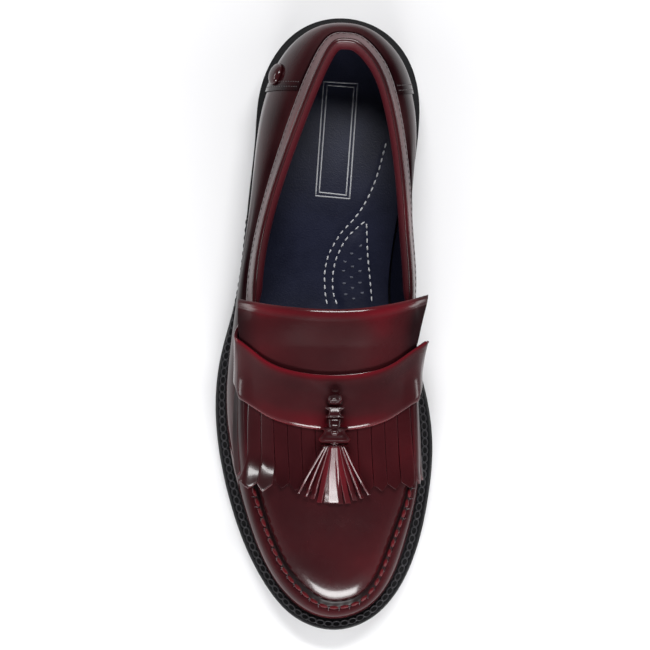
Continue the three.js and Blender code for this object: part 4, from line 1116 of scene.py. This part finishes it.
for profile, flatness in ((bandProfile, 0.55), (neckProfile, 0.7)):
    more = gridMesh(44, 24, turnedShape(profile, tones=(0.3, 0.35), flatness=flatness), closeAround=True)
    capEnds(more)
    addBm(bm, more)
finishPiece("tasselTie", bm, [flapLeather], ["tassel_tie"], recalc=True)
bm = gridMesh(72, 30, turnedShape(headProfile, tones=(0.2, 0.3), flatness=0.62), closeAround=True)
capEnds(bm)
finishPiece("tasselHead", bm, [sideLeather], ["tassel_head"], recalc=True)

stripCount = 11
middleStrip = stripCount // 2
skirt = {"wide": 2.7, "middleWide": 4.7, "roll": math.radians(75), "shorter": 0.09, "hem": 1.0}


def apronUp(along, across):
    return place(along, shareAt(along, across))[..., 2]


def skirtShape(index):
    spread = 2 * index / (stripCount - 1) - 1
    start = tassel["start"] + 0.47 * tassel["length"]
    end = tassel["start"] + (1.01 - skirt["shorter"] * spread**2 + random.uniform(-0.012, 0.008)) * tassel["length"]
    wave = random.uniform(-1, 1)
    centred = index == middleStrip
    wide = skirt["middleWide"] if centred else skirt["wide"]
    roll = skirt["roll"] * spread + (0.4 if index == middleStrip + 1 else 0.0) + (0 if centred else 0.12 * wave)
    layer = 1.3 if centred else 0.5 * (index % 2)

    def shape(u, w):
        along = mix(start, end, w)
        middle = tassel["across"] + spread * mix(0.4 * tassel["head"], tassel["skirt"] / 2 - 1.35, w)
        middle = middle + (0 if centred else wave * 0.5 * np.sin(w * 3))
        head = tassel["head"] * 0.34 * (1 + math.sqrt(1 - (0.8 * spread) ** 2)) - 1.3
        high = tasselSeat(np.full_like(along, start)) + head + layer * 0.4
        hem = apronUp(np.full_like(along, end), np.full_like(along, middle[-1])) + skirt["hem"] + layer * 0.7
        over = 1 - smooth(along, 0.768 * soleLength, 0.785 * soleLength)
        rest = apronUp(along, middle) + 0.3 + over * (kiltie["thickness"] + 1.3)
        up = np.maximum(mix(high, hem, w), rest)
        part = 2 * u - 1
        half = wide / 2 * mix(0.62, 1, smooth(w, 0, 0.55))
        up = up + 0.95 - part * half * math.sin(roll) + 0.35 * abs(math.sin(roll)) * half
        up = up + (0 if centred else 0.3 * np.sin(w * 5 + wave * 3) * w)
        points = stack(along, middle + part * half * math.cos(roll), up)
        # lighter along each strip's edges as a painted highlight, and a little lighter on every other strip
        tone = 0.4 + 0.2 * (np.abs(part) > 0.75) + (0.1 if index % 2 else 0)
        return points, np.stack([u * 3, along], axis=1), np.clip(tone, 0, 1)

    return shape


bm = gridMesh(6, 26, skirtShape(0), flip=True, lowFrom=-1)
for index in list(range(2, stripCount, 2)) + list(range(1, stripCount, 2)):
    lit = index in (middleStrip - 1, middleStrip)
    addBm(bm, gridMesh(6, 26, skirtShape(index), flip=True, lowFrom=None if lit else -1))
skirtLooks = [tasselLeather, tasselLeather, cutLeather, sideLeather, sideLeather, cutLeather]
finishPiece("tasselSkirt", bm, skirtLooks, ["tassel_skirt"], wall=0.95, edge=0.16)

# welt and its chain stitches
welt = {
    "start": 0.322 * soleLength, "end": 0.537 * soleLength, "setback": 0.6,
    "pitch": 4.0, "link": (1.95, 1.3), "wire": 0.36,
}
innerAlong = outline(innerRays, 0)[:, 0]
outerAlong = outline(outerRays, 0)[:, 0]
weltFrom = float(np.interp(welt["end"], innerAlong, innerRays))
weltTo = float(np.interp(welt["start"], outerAlong, outerRays))


def wallReach(ray, height):
    shares = np.linspace(0.5, 1, 25)
    facing = facingOf(ray)
    foot = wallPoint(ray, np.ones_like(ray))
    reach = np.zeros_like(ray)
    for share in shares:
        point = wallPoint(ray, np.full_like(ray, share))
        out = ((point - foot) * facing).sum(-1)
        reach = np.where(point[..., 2] <= foot[..., 2] + height, np.maximum(reach, out), reach)
    return rayCurves["inset"](ray) * ballWidth - reach


def weltSection(ray, inset, rise):
    point = outline(ray, inset)
    point[..., 2] = outsoleTop(point[..., 0]) + gap + rise
    return point


def weltShape(u, w):
    ray = mix(weltFrom, weltTo, u)
    tall = shoe["weltThickness"]
    inner = wallReach(ray, tall + 1.5) - 0.3
    edge = np.full_like(ray, welt["setback"])
    section = [
        (inner, -0.1), (edge, -0.1), (edge, 0.6), (edge, tall - 1.2), (edge + 0.25, tall - 0.45), (edge + 0.9, tall),
        (edge + 1.3, tall - 0.12), (edge + 1.7, tall - 0.35), (mix(edge + 1.7, inner, 0.5), tall - 0.42),
        (inner - 1.6, tall - 0.3), (inner - 1.1, tall), (inner, tall + 0.1), (inner, -0.1),
    ]
    at = w * (len(section) - 1)
    insets = np.stack([s[0] for s in section])
    rises = np.array([s[1] for s in section])
    i = np.clip(at.astype(int), 0, len(section) - 2)
    part = at - i
    columns = np.arange(len(ray))
    inset = mix(insets[i, columns], insets[i + 1, columns], part)
    rise = mix(rises[i], rises[i + 1], part)
    return weltSection(ray, inset, rise), np.stack([ray, inset], axis=1), 0.5


bm = gridMesh(420, 24, weltShape, closeRows=True)
capEnds(bm)
finishPiece("weltStrip", bm, [weltLook], ["welt"], recalc=True)

bm = bmesh.new()
rayRow = np.linspace(weltFrom + 1.5, weltTo - 1.5, 2500)
innerInset = wallReach(rayRow, shoe["weltThickness"] + 1.5)
inset = mix(welt["setback"] + 1.2, innerInset - 1.3, 0.46)
path = weltSection(rayRow, inset, shoe["weltThickness"] - 0.2)
points, aheads, _ = evenly(path, welt["pitch"])
for point, ahead in zip(points, aheads):
    side = np.cross([0, 0, 1.0], ahead)

    def linkShape(u, w, point=point, ahead=ahead, side=side):
        angle, around = 2 * math.pi * u, 2 * math.pi * w
        far, near = welt["link"][0] * np.cos(angle), welt["link"][1] * np.sin(angle)
        reach = 1 + welt["wire"] * np.cos(around) / np.hypot(far, near)
        ring = ahead * (far * reach)[:, None] + side * (near * reach)[:, None]
        ring[:, 2] += welt["wire"] * np.sin(around) * (1 + 0.5 * np.abs(np.cos(angle)))
        return point + ring, np.stack([u, w], axis=1), 0.5

    addBm(bm, gridMesh(18, 6, linkShape, closeAround=True, closeRows=True, flip=True))
finishPiece("weltStitches", bm, [threadBlack], recalc=True)

# outsole
sole = {"border": 9.4, "recess": 1.3}
soleSection = [  # inset, level (1 the top, 0 the bottom), offset
    (14, 1, -0.1), (0.9, 1, 0), (0.3, 1, -0.25), (0, 1, -0.9), (0, 1, -2.5), (0.45, 1, -2.75), (0.45, 1, -3.15),
    (0, 1, -3.4), (0, 0, 1.4), (0.3, 0, 0.4), (1.1, 0, 0), (8.6, 0, 0), (9.1, 0, 0), (9.4, 0, 0.3),
    (9.5, 0, 1.3), (14, 0, 1.35), (14, 1, -0.1),
]


def soleShape(u, w):
    ray = u * rayPeriod
    row = np.rint(w * (len(soleSection) - 1)).astype(int)
    section = np.array(soleSection, float)[row]
    points = outline(ray, section[:, 0])
    level = np.where(section[:, 1] > 0, outsoleTop(points[:, 0]), rocker(points[:, 0]))
    points[:, 2] = level + section[:, 2]
    return points, np.stack([ray, section[:, 0]], axis=1), 1.0 * (row >= 9)


bm = gridMesh(460, len(soleSection) - 1, soleShape, closeAround=True, closeRows=True)
bmesh.ops.recalc_face_normals(bm, faces=bm.faces)
finishPiece("soleEdge", bm, [ribLook], ["outsole"])


def insetSides(along, inset):
    inner = outline(innerRays, inset)
    outer = outline(outerRays, inset)
    return np.interp(along, inner[:, 0], inner[:, 1]), np.interp(along, outer[:, 0], outer[:, 1])


def panelShape(u, w):
    inset = sole["border"] + 1.2
    along = mix(inset + 0.5, soleLength - inset - 0.5, (1 - np.cos(math.pi * w)) / 2)
    inner, outer = insetSides(along, inset)
    across = mix(outer, inner, u)
    return stack(along, across, rocker(along) + sole["recess"]), np.stack([across, along], axis=1), 0.5


bm = gridMesh(24, 160, panelShape)
finishPiece("solePanel", bm, [rubberLook], wall=5.4)

lug = {"wide": 6.3, "deep": 1.85, "thick": 1.9, "pitchAcross": 8.4, "pitchAlong": 8.5, "tilt": math.radians(7)}


def addLug(bm, along, across, floorUp, tall):
    plan = [(-0.5, 0), (0, 1), (0.5, 0)]
    near = [(x * lug["wide"], y * lug["deep"]) for x, y in plan]
    far = [(x, y - lug["thick"]) for x, y in reversed(near)]
    ring = []
    for x, y in near + far:
        spot = np.array([along + y, across + x, floorUp + 0.02])
        ring.append(bm.verts.new(toWorld(spot)))
    low = bm.faces.new(ring)
    raised = bmesh.ops.extrude_face_region(bm, geom=[low])["geom"]
    bmesh.ops.translate(bm, verts=[v for v in raised if isinstance(v, bmesh.types.BMVert)], vec=(0, 0, tall / 1000))


def breastAlong(across):
    share = (across + 7) / ballWidth
    return soleLength * 0.283 + ballWidth * (0.114 * share + 0.53 * share * share)


bm = bmesh.new()
for row in range(-2, 24):
    for column in range(-7, 8):
        across = column * lug["pitchAcross"] - 6
        offset = lug["pitchAlong"] / 2 if column % 2 else 0
        along = 150 + row * lug["pitchAlong"] + offset - math.tan(lug["tilt"]) * across
        inner, outer = insetSides(np.array([along]), sole["border"] + 4.2)
        start = 154 + 0.13 * across
        if start < along < soleLength - 15 and outer[0] < across < inner[0]:
            up = float(rocker(np.array([along + 3]))[0]) if along > 215 else float(rocker(np.array([along]))[0])
            addLug(bm, along, across, up, sole["recess"] + 0.2)
for row in range(6):
    for column in range(-4, 5):
        across = column * lug["pitchAcross"] + 1
        along = 28 + row * lug["pitchAlong"] + (lug["pitchAlong"] / 2 if column % 2 else 0) + 0.05 * across
        inner, outer = insetSides(np.array([along]), 13.0)
        if outer[0] < across < inner[0] and along < 66 + 0.08 * across:
            addLug(bm, along, across, 0.0, 1.5)
finishPiece("treadLugs", bm, [rubberLook], recalc=True)


def medallionShape(u, w):
    angle, around = 2 * math.pi * u, 2 * math.pi * w
    wide = 1 + 0.045 * np.cos(around)
    along = 118 + 13.1 * wide * np.cos(angle)
    across = -9.5 + 18.3 * wide * np.sin(angle)
    up = rocker(along) + sole["recess"] - 0.1 - 0.55 * np.sin(around)
    return stack(along, across, up), np.stack([u * 90, w * 4], axis=1), 0.5


bm = gridMesh(90, 10, medallionShape, closeAround=True, closeRows=True)
for level, offset in ((150.0, 0.13), (92.0, 0.07)):
    def barShape(u, w, level=level, offset=offset):
        inner, outer = insetSides(np.full_like(u, level), sole["border"] - 0.2)
        across = mix(outer, inner, u)
        around = 2 * math.pi * w
        along = level + offset * across + 0.9 * np.cos(around)
        up = rocker(along) + 0.75 + 0.75 * np.sin(around)
        return stack(along, across, up), np.stack([across, w * 4], axis=1), 0.5

    more = gridMesh(50, 10, barShape, closeRows=True)
    capEnds(more)
    addBm(bm, more)
finishPiece("soleMedallion", bm, [rubberLook], recalc=True)

# heel
heel = {"border": 8.0, "recess": 1.4}
heelRays = np.linspace(-rayPeriod * 0.16, rayPeriod * 0.2, 3000)
heelEdge = outline(np.mod(heelRays, rayPeriod), 0.3)
within = heelEdge[:, 0] < breastAlong(heelEdge[:, 1])
heelEdge = heelEdge[within]
breastAcross = np.linspace(heelEdge[-1, 1], heelEdge[0, 1], 400)[1:-1]
breast = stack(breastAlong(breastAcross), breastAcross, 0.0)
heelPath = np.concatenate([heelEdge, breast, heelEdge[:1]])
heelRun = np.concatenate([[0], np.cumsum(np.linalg.norm(np.diff(heelPath, axis=0), axis=1))])
heelCentre = np.array([42.0, 1.0, 0.0])
heelSection = [  # inset, share of height, offset
    (12, 1, 0.4), (0.2, 1, 0.4), (0.1, 1, -0.2), (0, 0.7, 0), (0, 0, 6.0), (0.05, 0, 5.6),
    (0.45, 0, 5.35), (0.45, 0, 5.0), (0.05, 0, 4.75), (0, 0, 4.3), (0.05, 0, 1.2), (0.4, 0, 0.35),
    (1.1, 0, 0), (heel["border"] - 0.4, 0, 0), (heel["border"], 0, 0.25),
    (heel["border"] + 0.2, 0, heel["recess"]), (heel["border"] + 5, 0, heel["recess"]),
]


def heelShape(u, w):
    along = np.interp(u * heelRun[-1], heelRun, heelPath[:, 0])
    across = np.interp(u * heelRun[-1], heelRun, heelPath[:, 1])
    row = np.rint(w * (len(heelSection) - 1)).astype(int)
    section = np.array(heelSection, float)[row]
    edge = stack(along, across, 0.0)
    points = edge + unit(heelCentre - edge) * section[:, :1]
    points[:, 2] = section[:, 1] * rocker(points[:, 0]) + section[:, 2]
    return points, np.stack([u * heelRun[-1], section[:, 0]], axis=1), 1.0 * (row >= 12)


bm = gridMesh(360, len(heelSection) - 1, heelShape, closeAround=True)
capEnds(bm)
finishPiece("heelBlock", bm, [ribLook], ["heel"], recalc=True)

# insole, its stitched pad, pinholes and label frame
insole = {
    "clearance": 2.9, "height": 27.0, "heelHeight": 32.0,
    "shift": (186.5, 323.8), "scale": 0.4905,  # the shoe's middle in the photograph, millimetres a pixel
    "longLine": [(234.6, 140.8), (225.8, 173), (215.5, 198), (203, 216.7), (192, 228.4), (184.7, 238.7), (178.8, 249),
                 (175.2, 259), (173, 272), (173, 281), (173.7, 293), (175.9, 304)],
    "padLeft": [(214, 219.6), (204.5, 227), (194.2, 238), (187.6, 250), (184, 259), (181.5, 271), (181, 280),
                (181.8, 291.5), (186, 304)],
    "padRight": [(214.8, 221), (215.5, 236), (216.2, 252), (217.7, 268), (219.2, 283), (220.6, 301)],
    "holes": [(208.9, 243.8), (200.1, 251.4), (208.5, 257), (193.5, 259.5), (201.1, 264.3), (192, 268.7),
              (208.5, 269), (200.1, 275.1), (192.8, 281.2), (208.6, 280.5), (201.1, 285.9), (194.2, 292.2),
              (210.8, 291), (202.3, 296.6)],
    "label": [(172, 80), (206, 82), (198, 197), (164, 194)],
}


def fromPicture(spots, up):  # places in the photograph as (along, across)
    spots = np.array(spots, float)
    scale = insole["scale"] * (studio["cameraUp"] * 1000 - up) / studio["scaleAt"]
    right = (spots[:, 0] - insole["shift"][0]) * scale
    ahead = (insole["shift"][1] - spots[:, 1]) * scale
    return soleLength / 2 - (ahead + studio["roll"] * right), right - studio["roll"] * ahead


def insoleTop(along, across):
    inner, outer = insoleSides(along)
    middle = (inner + outer) / 2
    half = (inner - outer) / 2
    share = np.clip(np.abs(across - middle) / half, 0, 1)
    cup = 1.6 * share**4 * (1 - smooth(along, 90, 160))
    fall = 1.0 * smooth(share, 0.93, 1) ** 2 * smooth(along, 120, 180)
    return outsoleTop(along) + gap + shoe["insoleThickness"] + cup - fall + padInside(along, across)


innerInsole = outline(innerRays, rayCurves["inset"](innerRays) * ballWidth + insole["clearance"] - 0.6)
outerInsole = outline(outerRays, rayCurves["inset"](outerRays) * ballWidth + insole["clearance"] - 0.6)


def insoleSides(along):
    return [np.interp(along, side[:, 0], side[:, 1]) for side in (innerInsole, outerInsole)]


padLines = {name: fromPicture(insole[name], insole["height"]) for name in ("longLine", "padLeft", "padRight")}
padStart, lineStart = padLines["padLeft"][0][0], padLines["longLine"][0][0]


def padInside(along, across):
    left = np.interp(along, *padLines["padLeft"], left=padLines["padLeft"][1][0])
    right = np.interp(along, *padLines["padRight"])
    inside = smooth(np.minimum(across - left, right - across), 0.2, 4.5) * smooth(along, padStart, padStart + 12)
    longLine = np.interp(along, *padLines["longLine"])
    groove = bump(across, longLine, 0.9) * smooth(along, lineStart - 2, lineStart + 2)
    edge = (bump(across, left, 0.8) + bump(across, right, 0.8)) * smooth(along, padStart - 1, padStart + 4)
    return 0.9 * inside - 0.35 * groove - 0.3 * edge


def insoleShape(u, w):
    start, end = innerInsole[:, 0].min() + 0.1, innerInsole[:, 0].max() - 0.1
    along = mix(start, end, (1 - np.cos(math.pi * w)) / 2)
    inner, outer = insoleSides(along)
    across = mix(outer, inner, (1 - np.cos(math.pi * u)) / 2 * 0.5 + u * 0.5)
    return stack(along, across, insoleTop(along, across)), np.stack([across, along], axis=1), 0.5


bm = gridMesh(110, 240, insoleShape, flip=True)
finishPiece("insolePad", bm, [insoleLook], ["insole"], wall=3.4)

bm = bmesh.new()
for lineAlong, lineAcross in padLines.values():
    fine = np.linspace(0, len(lineAlong) - 1, 240)
    along = curveThrough(range(len(lineAlong)), lineAlong)(fine)
    across = curveThrough(range(len(lineAcross)), lineAcross)(fine)
    path = stack(along, across, insoleTop(along, across))
    points, aheads, _ = evenly(path, 3.7)
    for point, ahead in zip(points, aheads):
        stitch(bm, point, asWorld(ahead), (0, 0, 1), (2.7, 0.85, 0.6))
finishPiece("insoleStitches", bm, [threadWhite])

bm = bmesh.new()
holeAlong, holeAcross = fromPicture(insole["holes"], insole["height"])
for along, across in zip(holeAlong, holeAcross):
    up = float(insoleTop(np.array([along]), np.array([across]))[0])
    spot = Matrix.Translation(Vector(toWorld(np.array([along, across, up + 0.04]))))
    bmesh.ops.create_circle(bm, cap_ends=True, segments=14, radius=0.0008, matrix=spot)
finishPiece("insolePinholes", bm, [pinLook], wall=0.1)

labelAlong, labelAcross = fromPicture(insole["label"], insole["heelHeight"])
bm = bmesh.new()
middle = np.array([labelAlong.mean(), labelAcross.mean()])
for shrink in (0.0, 1.7):
    ring = []
    for along, across in zip(labelAlong, labelAcross):
        away = np.array([along, across]) - middle
        ring.append(middle + away - np.sign(away) * shrink)
    for start, end in zip(ring, ring[1:] + ring[:1]):
        def lineShape(u, w, start=start, end=end):
            way = unit((end - start)[None])[0]
            side = np.array([-way[1], way[0]])
            reach = mix(start - way * 0.22, end + way * 0.22, u[:, None])
            spot = reach + side * ((w - 0.5) * 0.6)[:, None]
            up = insoleTop(spot[:, 0], spot[:, 1]) + 0.06
            return stack(spot[:, 0], spot[:, 1], up), np.stack([u, w], axis=1), 0.5

        addBm(bm, gridMesh(20, 1, lineShape))
for face in bm.faces:
    face.normal_update()
bmesh.ops.reverse_faces(bm, faces=[face for face in bm.faces if face.normal.z < 0])
finishPiece("labelFrame", bm, [silverPrint], wall=0.08)

# floor, light and camera
bpy.ops.mesh.primitive_plane_add(size=8.0, location=(0, 0, 0))
floor = bpy.context.object
floor.name = "studioFloor"
floorLook = Look("paleFloor", Roughness=0.85, Specular_IOR_Level=0.1)
speck = floorLook.noise(floorLook.spot(), 3.0)
floorLook.feed(Base_Color=floorLook.blend(speck, (0.78, 0.78, 0.79, 1), (0.8, 0.8, 0.81, 1)))
floor.data.materials.append(floorLook.material)

world = bpy.data.worlds.new("studio")
bpy.context.scene.world = world
world.use_nodes = True
skyNodes, skyLinks = world.node_tree.nodes, world.node_tree.links
sky = skyNodes.new("ShaderNodeTexCoord")
height = skyNodes.new("ShaderNodeSeparateXYZ")
ramp = skyNodes.new("ShaderNodeValToRGB")
ramp.color_ramp.elements.new(0.5)
for element, (position, colour) in zip(ramp.color_ramp.elements, studio["sky"]):
    element.position, element.color = position, colour
skyLinks.new(sky.outputs["Generated"], height.inputs[0])
skyLinks.new(height.outputs[2], ramp.inputs["Fac"])
skyLinks.new(ramp.outputs["Color"], skyNodes["Background"].inputs["Color"])


def softbox(name, location, target, size, energy):
    data = bpy.data.lights.new(name, "AREA")
    data.shape = "RECTANGLE"
    data.size, data.size_y = size
    data.energy = energy
    lamp = bpy.data.objects.new(name, data)
    lamp.location = location
    lamp.rotation_euler = (Vector(target) - Vector(location)).to_track_quat("-Z", "Y").to_euler()
    bpy.context.scene.collection.objects.link(lamp)


for name, values in studio["softboxes"].items():
    softbox(name, *values)

cameraData = bpy.data.cameras.new("overheadCamera")
cameraData.lens = studio["lens"]
cameraData.sensor_width = 36
camera = bpy.data.objects.new("overheadCamera", cameraData)
camera.location = (0, 0, studio["cameraUp"])
camera.rotation_euler = (0, 0, studio["roll"])
bpy.context.scene.collection.objects.link(camera)
bpy.context.scene.camera = camera
bpy.context.scene.view_settings.view_transform = "Standard"
